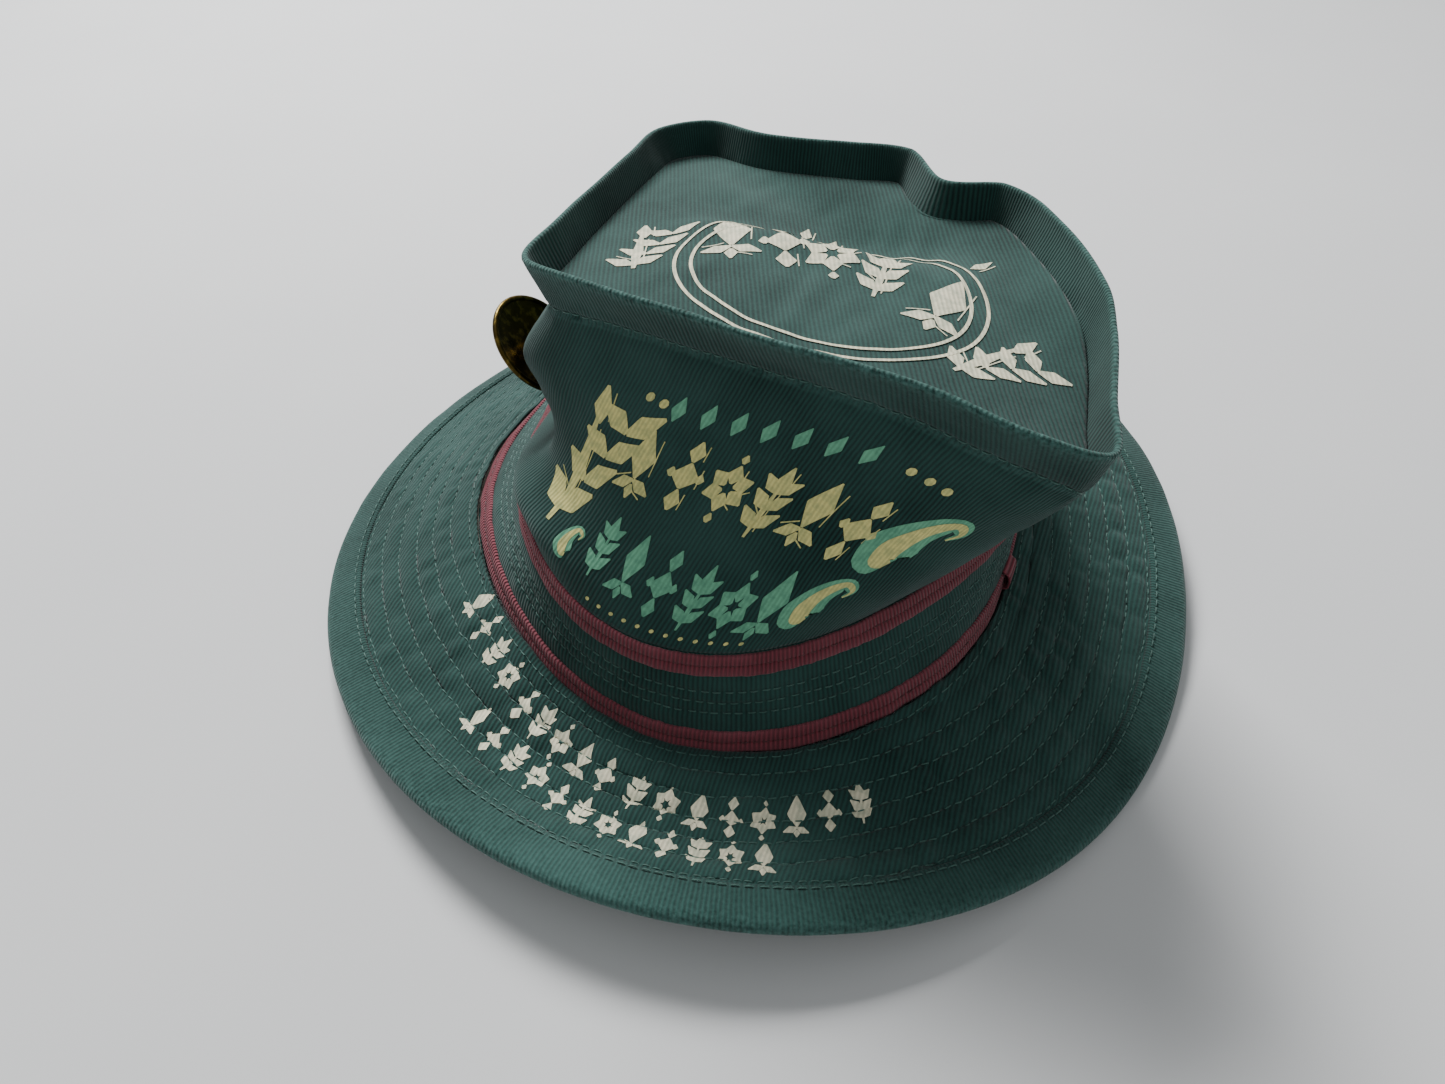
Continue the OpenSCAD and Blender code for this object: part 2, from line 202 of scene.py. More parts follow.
# Crest of the crown seen from above: azimuth on the band, x, y, dip below the crest plane
crestPoints = np.array([
    (0, 90, 3, 6), (20, 75, 27, 2), (40, 56, 47, 0), (53, 37, 46, 1), (66, 23, 66, 0),
    (85, 3, 65, 0), (105, -24, 64, 0), (125, -47, 70, 0), (140, -60, 60, 0),
    (158, -61, 42, 0), (178, -59, 12, 0), (200, -55, -24, 0), (213, -50, -48, 0),
    (235, -21, -56, 0), (258, 14, -61, 2), (282, 50, -63, 5), (305, 85, -66, 11),
    (320, 102, -60, 16), (333, 100, -37, 15), (346, 96, -13, 11)], float)


def wave(u, waves):
    return sum(h * np.cos(np.radians(k * (u - a))) for h, k, a in waves)


def apart(u, centre):
    return (u - centre + 180) % 360 - 180


def bump(d, width):
    return np.where(np.abs(d) < width, np.cos(np.radians(90 * np.clip(d / width, -1, 1))) ** 2, 0)


def outward(u):
    return np.stack([np.cos(np.radians(u)), np.sin(np.radians(u)), 0 * u], -1)


def unit(v):
    return v / np.linalg.norm(v, axis=-1, keepdims=True)


def oval(u, a, b):
    return a * b / np.hypot(b * np.cos(np.radians(u)), a * np.sin(np.radians(u)))


def rise(z):
    return np.stack([0 * z, 0 * z, z], -1)


def grain(u, s, cells, pitch, seed):
    # Smooth seeded noise, about -1 to 1: it closes round the hat after that many cells
    u, s = np.broadcast_arrays(np.asarray(u, float), np.asarray(s, float))
    table = np.random.default_rng(seed).uniform(-1, 1, (cells, 64))
    x, y = u / 360 * cells, s / pitch + 16
    i, j = np.floor(x).astype(int), np.floor(y).astype(int)
    fx, fy = x - i, y - j
    fx, fy = fx * fx * (3 - 2 * fx), fy * fy * (3 - 2 * fy)
    def at(a, b):
        return table[a % cells, b % 64]
    low = at(i, j) * (1 - fx) + at(i + 1, j) * fx
    high = at(i, j + 1) * (1 - fx) + at(i + 1, j + 1) * fx
    return low * (1 - fy) + high * fy


def seamAt(u):
    r = oval(u, shape["headWidth"] / 2, shape["headLength"] / 2) + wave(u, seamShape)
    return r[..., None] * outward(u) + rise(shape["seatHeight"] + wave(u, seamWaves))


def edgeAt(u):
    reach = shape["brimReach"]
    r = oval(u, shape["headWidth"] / 2 + reach, shape["headLength"] / 2 + reach) + wave(u, edgeShape)
    z = shape["edgeHeight"] + wave(u, edgeWaves) - 7 * bump(apart(u, 90), 100)
    return r[..., None] * outward(u) + rise(z)


ring = edgeAt(np.arange(0, 360, 6.0))
home = np.array([-(ring[:, 0].max() + ring[:, 0].min()) / 2, -(ring[:, 1].max() + ring[:, 1].min()) / 2,
                 hemOut - shape["hemBite"] - ring[:, 2].min()])


def band(u, s):
    lean = np.radians(shape["bandLean"] + wave(u, leanWaves))
    return home + seamAt(u) + s[..., None] * (rise(np.cos(lean)) - np.sin(lean)[..., None] * outward(u))


def brimLength(u):
    return np.linalg.norm(edgeAt(u) + home - band(u, 0 * u - seamBelow), axis=-1)


def brim(u, d):
    # d is the distance inside the brim's edge
    t = 1 - d / brimLength(u)
    hump = np.sin(np.pi * np.clip(t, 0, 1))
    flat = band(u, 0 * u - seamBelow) * (1 - t)[..., None] + (edgeAt(u) + home) * t[..., None]
    return flat - rise(shape["valley"] * bump(apart(u, 272), 75) * hump ** 2 - 1.5 * bump(apart(u, 90),
                                                            90) * hump)


def crestKnots():
    x, y = crestPoints[:, 1], crestPoints[:, 2]
    z = shape["crestHeight"] + shape["crestRise"] * x - shape["crestFall"] * y - crestPoints[:, 3]
    return crestPoints[:, 0], np.stack([x, y, z], -1) + home


def crestAt(u):
    a, p = crestKnots()
    count = len(a)
    k = np.arange(-2, count + 2)
    az, pt = a[k % count] + 360 * (k // count), p[k % count]
    slope = (pt[2:] - pt[:-2]) / (az[2:] - az[:-2])[:, None]
    u = np.asarray(u, float) % 360
    i = np.searchsorted(az, u, side="right") - 1
    h = (az[i + 1] - az[i])[..., None]
    t = ((u - az[i]) / (az[i + 1] - az[i]))[..., None]
    return ((2 * t ** 3 - 3 * t ** 2 + 1) * pt[i] + (t ** 3 - 2 * t ** 2 + t) * h * slope[i - 1]
            + (3 * t ** 2 - 2 * t ** 3) * pt[i + 1] + (t ** 3 - t ** 2) * h * slope[i])


def crestOut(u):
    t = crestAt(u + 2) - crestAt(u - 2)
    return unit(np.stack([t[..., 1], -t[..., 0], 0 * t[..., 0]], -1))


def rim(u, s):
    f = shape["rimFlare"] + 2 * bump(apart(u, 265), 60)
    down = unit(-f[..., None] * crestOut(u) - rise(np.sqrt(shape["rimHeight"] ** 2 - f ** 2)))
    return crestAt(u) + (shape["rimHeight"] - s)[..., None] * down


def buckle(u, t):
    return (7 * bump(apart(u, 226), 45) * bump(t - 0.12, 0.16)
            - shape["tuck"] * bump(apart(u, 200), 34) * bump(t - 0.28, 0.26)
            + 7 * bump(apart(u, 200), 45) * bump(t - 0.74, 0.3)
            - 5 * bump(apart(u, 272), 60) * bump(t - 0.6, 0.5)
            + 4 * bump(apart(u, 90), 100) * bump(t - 0.5, 0.5))


# Folds and puckers that lie on the plain surfaces, in mm
clothFolds = dict(wallSoft=1.1, wallFine=0.35, rimPucker=0.3, bandPucker=0.35, brimPuff=0.65,
                  brimPucker=0.6)


def stepped(u, s):
    return np.broadcast_arrays(np.asarray(u, float), np.asarray(s, float))


def normalOf(f, u, s, ds):
    du = f(u + 0.4, s) - f(u - 0.4, s)
    dv = f(u, s + ds) - f(u, s - ds)
    return unit(np.cross(du, dv))


def pushed(f, u, s, h, ds=0.3):
    u, s = stepped(u, s)
    return f(u, s) + np.asarray(h)[..., None] * normalOf(f, u, s, ds)


def wallPlain(u, t):
    foot, head = band(u, 0 * u + bandTop), rim(u, 0 * u)
    return foot * (1 - t)[..., None] + head * t[..., None] + buckle(u, t)[..., None] * outward(u)


def wall(u, t):
    u, t = stepped(u, t)
    free = np.clip(np.minimum(t, 1 - t) * 5, 0, 1)
    h = free * (clothFolds["wallSoft"] * grain(u, t, 22, 0.3, 3) + clothFolds["wallFine"] * grain(u, t, 70,
                                                            0.12, 4))
    h += clothFolds["rimPucker"] * grain(u, t, 150, 5, 5) * bump(1 - t, 0.16)
    return wallPlain(u, t) + h[..., None] * outward(u)


def rimCloth(u, s):
    u, s = stepped(u, s)
    h = clothFolds["rimPucker"] * grain(u, s, 130, 7, 6) * bump(s - 1, 9) - 0.45 * bump(s - 1, 1.4)
    h = h + 0.9 * grain(u, s, 26, 14, 7) * np.clip(s / 6, 0, 1)
    return rim(u, s) + h[..., None] * crestOut(u)


stitchRows = dict(
    brim=[shape["hemWidth"] + 1 + k * shape["rowPitch"] for k in range(6)], nextToTape=3.4,
    band=[shape["tapeGap"] / 2 - 3.4, shape["tapeGap"] / 2, shape["tapeGap"] / 2 + 3.4])


def brimCloth(u, d):
    # Between two rows of quilting the cloth stands up in short puckers
    u, d = stepped(u, d)
    k = (d - stitchRows["brim"][0]) / shape["rowPitch"]
    puff = np.sin(np.pi * (k % 1)) ** 0.8 * np.clip((d - shape["hemWidth"] + 1) / 2, 0, 1)
    h = puff * (clothFolds["brimPuff"] + clothFolds["brimPucker"] * grain(u, np.floor(k) * 7.3, 190, 1, 8)
                + 0.3 * grain(u, d, 80, 9, 9))
    return brim(u, d) + rise(h)


def bandCloth(u, s):
    u, s = stepped(u, s)
    rows = sum(bump(s - r, 1.3) for r in stitchRows["band"])
    puff = clothFolds["bandPucker"] * (0.6 + grain(u, s, 120, 3.4, 10)) - 0.5 * rows
    free = bump(s - shape["tapeGap"] / 2, shape["tapeGap"] / 2 - 2)
    return band(u, s) + (puff * np.clip(free * 3, 0, 1))[..., None] * outward(u)


def newObject(name, points, faces, weave=None):
    mesh = bpy.data.meshes.new(name)
    mesh.from_pydata((np.asarray(points) * mm).tolist(), [],
                     faces.tolist() if hasattr(faces, "tolist") else faces)
    mesh.update()
    mesh.polygons.foreach_set("use_smooth", np.ones(len(mesh.polygons), bool))
    if weave is not None:
        layer = mesh.attributes.new("weave", "FLOAT_VECTOR", "CORNER")
        layer.data.foreach_set("vector", np.asarray(weave, np.float32).ravel())
    obj = bpy.data.objects.new(name, mesh)
    bpy.context.scene.collection.objects.link(obj)
    return obj


def woven(name, loops, weave, ringed=True, closed=True):
    # loops[i, j] is point j of the section at azimuth i; weave has one more row and column, for the seams
    n, m = loops.shape[:2]
    rows, cols = (n if ringed else n - 1), (m if closed else m - 1)
    i, j = np.meshgrid(np.arange(rows), np.arange(cols), indexing="ij")
    a, b = i * m + j, ((i + 1) % n) * m + j
    c, d = ((i + 1) % n) * m + (j + 1) % m, i * m + (j + 1) % m
    faces = np.stack([a, b, c, d], -1).reshape(-1, 4)
    corners = np.stack([weave[i, j], weave[i + 1, j], weave[i + 1, j + 1], weave[i, j + 1]], 2).reshape(-1,
                                                            3)
    if not ringed and closed:
        half = m // 2
        caps = []
        for base, flip in ((0, 1), ((n - 1) * m, -1)):
            for k in range(half - 1):
                quad = [base + k, base + k + 1, base + m - 2 - k, base + m - 1 - k][::flip]
                caps.append(quad)
        faces = np.vstack([faces, np.array(caps)])
        corners = np.vstack([corners, np.zeros((len(caps) * 4, 3))])
    return newObject(name, loops.reshape(-1, 3), faces, corners)


def ribs(u, s, count, wear=0.0):
    # Weave coordinates: ribs counted round the hat, mm along them, and wear from 0 to 1
    u, s = stepped(u, s)
    return np.stack([u / 360 * count, s, np.broadcast_to(wear, u.shape)], -1)


def section(f, u, stations, heights, ds=0.3):
    u, s = stepped(np.asarray(u, float)[:, None], np.asarray(stations, float)[None, :])
    return pushed(f, u, s, np.broadcast_to(np.asarray(heights, float), s.shape), ds)


def cloth(name, f, stations, under, upper, count, u=around, ringed=True, ds=0.3, wear=None, planar=None):
    # One layer of cloth over a surface, between two heights, with its cut edges closed
    stations = np.asarray(stations, float)
    st = np.concatenate([stations, stations[::-1]])
    hs = np.concatenate([np.full(len(stations), upper), np.full(len(stations), under)])
    loops = section(f, u, st, hs, ds)
    uu = np.append(u, u[0] + 360 if ringed else u[-1])
    edge = np.append(st, st[0])
    w = np.zeros_like(edge) if wear is None else np.interp(edge, *wear)
    if planar is None:
        weave = ribs(uu[:, None], edge[None, :], count, w[None, :])
    else:
        q = section(f, uu, edge, 0 * edge, ds)
        across = q[..., 0] * math.cos(planar) + q[..., 1] * math.sin(planar)
        along = -q[..., 0] * math.sin(planar) + q[..., 1] * math.cos(planar)
        weave = np.stack([across / ribPitch, along, np.broadcast_to(w, across.shape)], -1)
    return woven(name, loops, weave, ringed)


def stitches(name, rows):
    # Each row is (surface, station, height, stitch mm, gap mm, thread mm, step for the normal)
    points, faces = [], []
    start = 0
    sides = np.arange(5) * 2 * np.pi / 5
    for f, s, h, long, gap, thick, ds in rows:
        fine = np.linspace(0, 360, 2881)
        line = f(fine, fine * 0 + s)
        length = np.concatenate([[0], np.cumsum(np.linalg.norm(np.diff(line, axis=0), axis=1))])
        count = int(length[-1] / (long + gap))
        pitch = length[-1] / count
        jitter = np.random.default_rng(int(s * 10) + 40).uniform(-0.12, 0.12, count)
        first = (np.arange(count) + jitter) * pitch
        parts = np.array([0, 0.18, 0.5, 0.82, 1.0])
        lift = np.array([-0.55, 0.25, 0.42, 0.25, -0.55]) * thick + h
        u = np.interp(first[:, None] + parts * long, length, fine)
        ss = s + jitter[:, None] * 0.8 + 0 * u
        centre = pushed(f, u, ss, lift + 0 * u, ds)
        up = normalOf(f, u, ss, ds)
        side = unit(np.cross(np.gradient(centre, axis=1), up))
        r = thick / 2 * np.array([0.7, 1, 1, 1, 0.7])[None, :, None, None]
        tube = centre[:, :, None] + r * (np.cos(sides)[:, None] * side[:, :, None] + np.sin(sides)[:,
                                                            None] * up[:, :, None])
        points.append(tube.reshape(-1, 3))
        base = start + np.arange(count)[:, None, None] * 25
        k, q = np.meshgrid(np.arange(4), np.arange(5), indexing="ij")
        a, b = k * 5 + q, k * 5 + (q + 1) % 5
        quads = np.stack([a, b, b + 5, a + 5], -1)[None]
        faces.append((base[..., None] + quads).reshape(-1, 4))
        start += count * 25
    return newObject(name, np.vstack(points), np.vstack(faces))


ribPitch = 1.25        # real twill ribs are about 1 mm apart; drawn a little coarser so that they show


def linear(code):
    c = np.array([int(code[k:k + 2], 16) / 255 for k in (1, 3, 5)])
    c = np.where(c <= 0.04045, c / 12.92, ((c + 0.055) / 1.055) ** 2.4)
    return (*c.tolist(), 1.0)


def node(tree, kind, at, settings=None, links=None, out=0):
    n = tree.nodes.new(kind)
    n.location = at
    for key, value in (settings or {}).items():
        if isinstance(key, str) and hasattr(n, key):
            setattr(n, key, value)
        else:
            n.inputs[key].default_value = value
    for key, source in (links or {}).items():
        tree.links.new(source, n.inputs[key])
    return n.outputs[out] if n.outputs else n


def material(name, look, settings):
    m = bpy.data.materials.new(name)
    m.use_nodes = True
    tree = m.node_tree
    shader = tree.nodes["Principled BSDF"]
    for key, value in settings.items():
        shader.inputs[key].default_value = value
    colour, rough, normal = look(tree)
    for key, source in (("Base Color", colour), ("Roughness", rough), ("Normal", normal)):
        if source is not None:
            tree.links.new(source, shader.inputs[key])
    return m


def ribHeight(tree, slant, broken):
    # Sine ribs from the weave coordinates, broken up a little along their length
    weave = node(tree, "ShaderNodeAttribute", (-1400, 0), {"attribute_name": "weave"}, out=1)
    apartXYZ = tree.nodes.new("ShaderNodeSeparateXYZ")
    tree.links.new(weave, apartXYZ.inputs[0])
    x, y, z = apartXYZ.outputs
    wobble = node(tree, "ShaderNodeTexNoise", (-1200, -300), {"Scale": 260, "Detail": 2, "Roughness": 0.6},
                  {"Vector": node(tree, "ShaderNodeTexCoord", (-1400, -300), out=3)})
    shift = node(tree, "ShaderNodeMath", (-1000, -200), {"operation": "MULTIPLY", 1: broken}, {0: wobble})
    tilt = node(tree, "ShaderNodeMath", (-1000, -50), {"operation": "MULTIPLY_ADD", 1: slant}, {0: y, 2: x})
    phase = node(tree, "ShaderNodeMath", (-800, -50), {"operation": "ADD"}, {0: tilt, 1: shift})
    angle = node(tree, "ShaderNodeMath", (-650, -50), {"operation": "MULTIPLY", 1: 2 * math.pi}, {0: phase})
    sine = node(tree, "ShaderNodeMath", (-500, -50), {"operation": "SINE"}, {0: angle})
    return node(tree, "ShaderNodeMapRange", (-350, -50),
                {"From Min": -1, "From Max": 1, "To Min": 0, "To Max": 1}, {"Value": sine}), z


def twill(name, deep, mid, worn, ribShade=0.5):
    # Washed cotton twill: matt, fine straight ribs, paler where it has faded and along worn edges
    def look(tree):
        rib, wear = ribHeight(tree, 0.02, 0.35)
        fade = node(tree, "ShaderNodeMapRange", (-600, 500),
                    {"From Min": 0.35, "From Max": 0.7, "To Min": 0, "To Max": 1},
                    {"Value": node(tree, "ShaderNodeTexNoise", (-900, 500),
                                   {"Scale": 22, "Detail": 4, "Roughness": 0.6},
                                   {"Vector": node(tree, "ShaderNodeTexCoord", (-1100, 500), out=3)})})
        fleck = node(tree, "ShaderNodeMapRange", (-600, 700),
                     {"From Min": 0.3, "From Max": 0.7, "To Min": 0, "To Max": 1},
                     {"Value": node(tree, "ShaderNodeTexNoise", (-900, 700),
                                    {"Scale": 900, "Detail": 2, "Roughness": 0.6},
                                    {"Vector": node(tree, "ShaderNodeTexCoord", (-1100, 700), out=3)})})
        ground = node(tree, "ShaderNodeMix", (-200, 300),
                      {"data_type": "RGBA", 6: linear(deep), 7: linear(mid)}, {0: rib}, out=2)
        mix = node(tree, "ShaderNodeMath", (-400, 500), {"operation": "MULTIPLY", 1: 0.28}, {0: fade})
        faded = node(tree, "ShaderNodeMix", (0, 300), {"data_type": "RGBA", 7: linear(worn)},
                     {0: mix, 6: ground}, out=2)
        rub = node(tree, "ShaderNodeMath", (-200, 600), {"operation": "MULTIPLY"}, {0: wear, 1: fleck})
        colour = node(tree, "ShaderNodeMix", (200, 300), {"data_type": "RGBA", 7: linear(worn)},
                      {0: rub, 6: faded}, out=2)
        nap = node(tree, "ShaderNodeMath", (-200, -300), {"operation": "MULTIPLY_ADD", 1: 0.25},
                   {0: fleck, 2: rib})
        normal = node(tree, "ShaderNodeBump", (200, -200), {"Strength": ribShade, "Distance": 0.00035},
                      {"Height": nap})
        return colour, None, normal
    return material(name, look, {"Roughness": 0.88, "Sheen Weight": 0.12, "Sheen Roughness": 0.5,
                                 "Specular IOR Level": 0.25, "Metallic": 0.0})


def wovenTape(name, deep, mid, worn):
    # Ribbed cotton tape: cross ribs that stand up well, paler where it is rubbed
    def look(tree):
        rib, wear = ribHeight(tree, 0.0, 0.25)
        fade = node(tree, "ShaderNodeTexNoise", (-900, 500), {"Scale": 60, "Detail": 3, "Roughness": 0.6},
                    {"Vector": node(tree, "ShaderNodeTexCoord", (-1100, 500), out=3)})
        ground = node(tree, "ShaderNodeMix", (-200, 300),
                      {"data_type": "RGBA", 6: linear(deep), 7: linear(mid)}, {0: rib}, out=2)
        mix = node(tree, "ShaderNodeMath", (-400, 500), {"operation": "MULTIPLY"}, {0: fade, 1: wear})
        colour = node(tree, "ShaderNodeMix", (0, 300), {"data_type": "RGBA", 7: linear(worn)},
                      {0: mix, 6: ground}, out=2)
        normal = node(tree, "ShaderNodeBump", (200, -200), {"Strength": 0.9, "Distance": 0.0005},
                      {"Height": rib})
        return colour, None, normal
    return material(name, look, {"Roughness": 0.85, "Sheen Weight": 0.15, "Specular IOR Level": 0.25})


def spunThread(name, colour):
    # Spun sewing thread: a slight sheen along each stitch
    def look(tree):
        shade = node(tree, "ShaderNodeMapRange", (-400, 200),
                     {"From Min": 0.3, "From Max": 0.7, "To Min": 0, "To Max": 1},
                     {"Value": node(tree, "ShaderNodeTexNoise", (-600, 200),
                                    {"Scale": 700, "Detail": 2, "Roughness": 0.6},
                                    {"Vector": node(tree, "ShaderNodeTexCoord", (-800, 200), out=3)})})
        dark = tuple(0.6 * c for c in linear(colour)[:3]) + (1.0,)
        tone = node(tree, "ShaderNodeMix", (-200, 200), {"data_type": "RGBA", 6: dark, 7: linear(colour)},
                    {0: shade}, out=2)
        normal = node(tree, "ShaderNodeBump", (-200, -200), {"Strength": 0.4, "Distance": 0.0001},
                      {"Height": shade})
        return tone, None, normal
    return material(name, look, {"Roughness": 0.6, "Sheen Weight": 0.2})


def printInk(name, full, rubbed):
    # Water-based screen print: matt ink that lets the ribs through and has cracked a little
    def look(tree):
        rib, wear = ribHeight(tree, 0.02, 0.35)
        crack = node(tree, "ShaderNodeMapRange", (-600, 500),
                     {"From Min": 0.42, "From Max": 0.62, "To Min": 0, "To Max": 1},
                     {"Value": node(tree, "ShaderNodeTexNoise", (-900, 500),
                                    {"Scale": 420, "Detail": 5, "Roughness": 0.6},
                                    {"Vector": node(tree, "ShaderNodeTexCoord", (-1100, 500), out=3)})})
        light = node(tree, "ShaderNodeMix", (-200, 300),
                     {"data_type": "RGBA", 6: tuple(0.78 * c for c in linear(full)[:3]) + (1.0,),
                      7: linear(full)}, {0: rib}, out=2)
        mix = node(tree, "ShaderNodeMath", (-400, 500), {"operation": "MULTIPLY", 1: 0.35}, {0: crack})
        colour = node(tree, "ShaderNodeMix", (0, 300), {"data_type": "RGBA", 7: linear(rubbed)},
                      {0: mix, 6: light}, out=2)
        normal = node(tree, "ShaderNodeBump", (200, -200), {"Strength": 0.4, "Distance": 0.0003},
                      {"Height": rib})
        return colour, None, normal
    return material(name, look, {"Roughness": 0.75, "Specular IOR Level": 0.3})


def agedBrass(name):
    # Old brass: dark olive patina with bright specks of worn gold
    def look(tree):
        spots = node(tree, "ShaderNodeMapRange", (-600, 400),
                     {"From Min": 0.5, "From Max": 0.68, "To Min": 0, "To Max": 1},
                     {"Value": node(tree, "ShaderNodeTexNoise", (-900, 400),
                                    {"Scale": 380, "Detail": 6, "Roughness": 0.6},
                                    {"Vector": node(tree, "ShaderNodeTexCoord", (-1100, 400), out=3)})})
        clouds = node(tree, "ShaderNodeMapRange", (-600, 100),
                      {"From Min": 0.3, "From Max": 0.7, "To Min": 0, "To Max": 1},
                      {"Value": node(tree, "ShaderNodeTexNoise", (-900, 100),
                                     {"Scale": 90, "Detail": 4, "Roughness": 0.6},
                                     {"Vector": node(tree, "ShaderNodeTexCoord", (-1100, 100), out=3)})})
        ground = node(tree, "ShaderNodeMix", (-300, 200),
                      {"data_type": "RGBA", 6: linear("#2A2410"), 7: linear("#5A4A20")}, {0: clouds}, out=2)
        colour = node(tree, "ShaderNodeMix", (-100, 300), {"data_type": "RGBA", 7: linear("#8A7434")},
                      {0: spots, 6: ground}, out=2)
        rough = node(tree, "ShaderNodeMapRange", (-100, 0), {"From Min": 0, "From Max": 1, "To Min": 0.22,
                                                            "To Max": 0.42}, {"Value": clouds})
        normal = node(tree, "ShaderNodeBump", (-100, -200), {"Strength": 0.25, "Distance": 0.0001},
                      {"Height": spots})
        return colour, rough, normal
    return material(name, look, {"Metallic": 1.0})


def plainCotton(name, colour, fine):
    # Plain weave cotton: even and matt, the threads just show
    def look(tree):
        speck = node(tree, "ShaderNodeMapRange", (-400, 200),
                     {"From Min": 0.3, "From Max": 0.7, "To Min": 0, "To Max": 1},
                     {"Value": node(tree, "ShaderNodeTexNoise", (-600, 200),
                                    {"Scale": fine, "Detail": 3, "Roughness": 0.6},
                                    {"Vector": node(tree, "ShaderNodeTexCoord", (-800, 200), out=3)})})
        dark = tuple(0.7 * c for c in linear(colour)[:3]) + (1.0,)
        tone = node(tree, "ShaderNodeMix", (-200, 200), {"data_type": "RGBA", 6: dark, 7: linear(colour)},
                    {0: speck}, out=2)
        normal = node(tree, "ShaderNodeBump", (-200, -200), {"Strength": 0.3, "Distance": 0.0002},
                      {"Height": speck})
        return tone, None, normal
    return material(name, look, {"Roughness": 0.9, "Sheen Weight": 0.1})


finish = dict(
    green=twill("greenTwill", "#071E1B", "#19403A", "#4A726B"),
    maroon=wovenTape("maroonTape", "#3E131B", "#7C313C", "#9A5560"),
    thread=spunThread("tealThread", "#3D6A60"),
    redThread=spunThread("maroonThread", "#5C2029"),
    yellowInk=printInk("yellowInk", "#E8E090", "#5E7F60"),
    mintInk=printInk("mintInk", "#74B894", "#2E6455"),
    creamInk=printInk("creamInk", "#ECE6C8", "#6E8B7C"),
    brass=agedBrass("agedBrass"),
    lining=plainCotton("liningCotton", "#16302B", 600),
    label=plainCotton("labelSatin", "#DAD8CC", 500),
    felt=plainCotton("interliningFelt", "#D8D4C4", 300))


def dress(obj, finishName, slotName, body, *nodes):
    obj.data.materials.append(finish[finishName])
    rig.slot(obj, slotName)
    if nodes:
        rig.replaces(obj, *nodes)
    if body:
        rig.ride(obj, body)
    return obj


# When the crown is pushed down the wall folds between these points; the line leans as the band does
crushFrom, crushTo = (0, -0.0043, 0.0509), (0.0002, -0.0075, 0.0888)


def dressWall(obj, finishName, slotName, *nodes):
    dress(obj, finishName, slotName, None, *nodes)
    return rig.blend(obj, "hat_base", "crown_top", start=crushFrom, end=crushTo)


def makeBrim():
    top = np.concatenate([np.arange(0.5, shape["hemWidth"], 1.5), np.arange(shape["hemWidth"], 51, 0.6)])
    def topCloth(u, d):
        # the stations are stretched so that the cloth always ends just outside the seam
        return brimCloth(u, d * (brimLength(u) - 1.0) / 51)
    piece = cloth("brimTopCloth", topCloth, np.append(top, 51), plyOut - shape["cloth"], plyOut, 0,
                  planar=0.0, wear=([0, 14, 60], [0.25, 0.12, 0.0]))
    dress(piece, "green", "green_twill", "hat_base", "brim_top")
    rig.sheet(piece, flat=(0.29, 0.31), area=0.0445, held="stretched", rests_on=["brim_stiffener"])
    low = np.linspace(0.5, 51, 40)
    def lowCloth(u, d):
        return brim(u, d * (brimLength(u) - 1.0) / 51) + rise(0.25 * grain(u, d, 120, 5, 12))
    under = cloth("brimUnderCloth", lowCloth, low, -plyOut, -plyOut + shape["cloth"], 0, planar=0.0)
    dress(under, "green", "green_twill", "hat_base", "brim_under")
    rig.sheet(under, flat=(0.29, 0.31), area=0.0445, held="stretched", rests_on=["brim_stiffener"])
    print("brim cloths made")


def makeHem():
    # The hem's section: under, round the edge, over, and back inside
    w, inner = shape["hemWidth"], plyOut + shape["ply"]
    d = [w, w - 0.6, w * 0.75, w * 0.5, w * 0.25, 1.0, 0.2, -0.45, -0.75, -0.45, 0.2, 1.0,
         w * 0.25, w * 0.5, w * 0.75, w - 0.6, w]
    h = [-inner, -hemOut, -hemOut, -hemOut, -hemOut, -hemOut + 0.1, -hemOut + 0.5, -1.0, 0, 1.0,
         hemOut - 0.5,
         hemOut - 0.1, hemOut, hemOut, hemOut, hemOut, inner]
    backD, backH = [w * 0.7, w * 0.35, 0.3, 0.3, w * 0.35, w * 0.7], [inner, inner, inner, -inner, -inner,
                                                            -inner]
    def hem(u, s):
        return brim(u, s) + rise(0.28 * grain(u, s, 110, 9, 14) * bump(s - 6, 9))
    st, hs = np.array(d + backD), np.array(h + backH)
    loops = section(hem, around, st, hs)
    uu = np.append(around, 360)
    path = np.concatenate([[0], np.cumsum(np.hypot(np.diff(st), np.diff(hs)))])
    wear = np.append(np.interp(st, [-1, 2, 12], [0.8, 0.25, 0.15]), 0.2)
    weave = ribs(uu[:, None], np.append(path, path[-1] + 1)[None, :], round(960 / ribPitch), wear[None, :])
    piece = woven("brimHem", loops, weave)
    dress(piece, "green", "green_twill", "hat_base", "brim_hem")
    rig.sheet(piece, flat=(0.026, 0.96), held="folded", rests_on=["brim_top", "brim_under"])
    print("hem made")


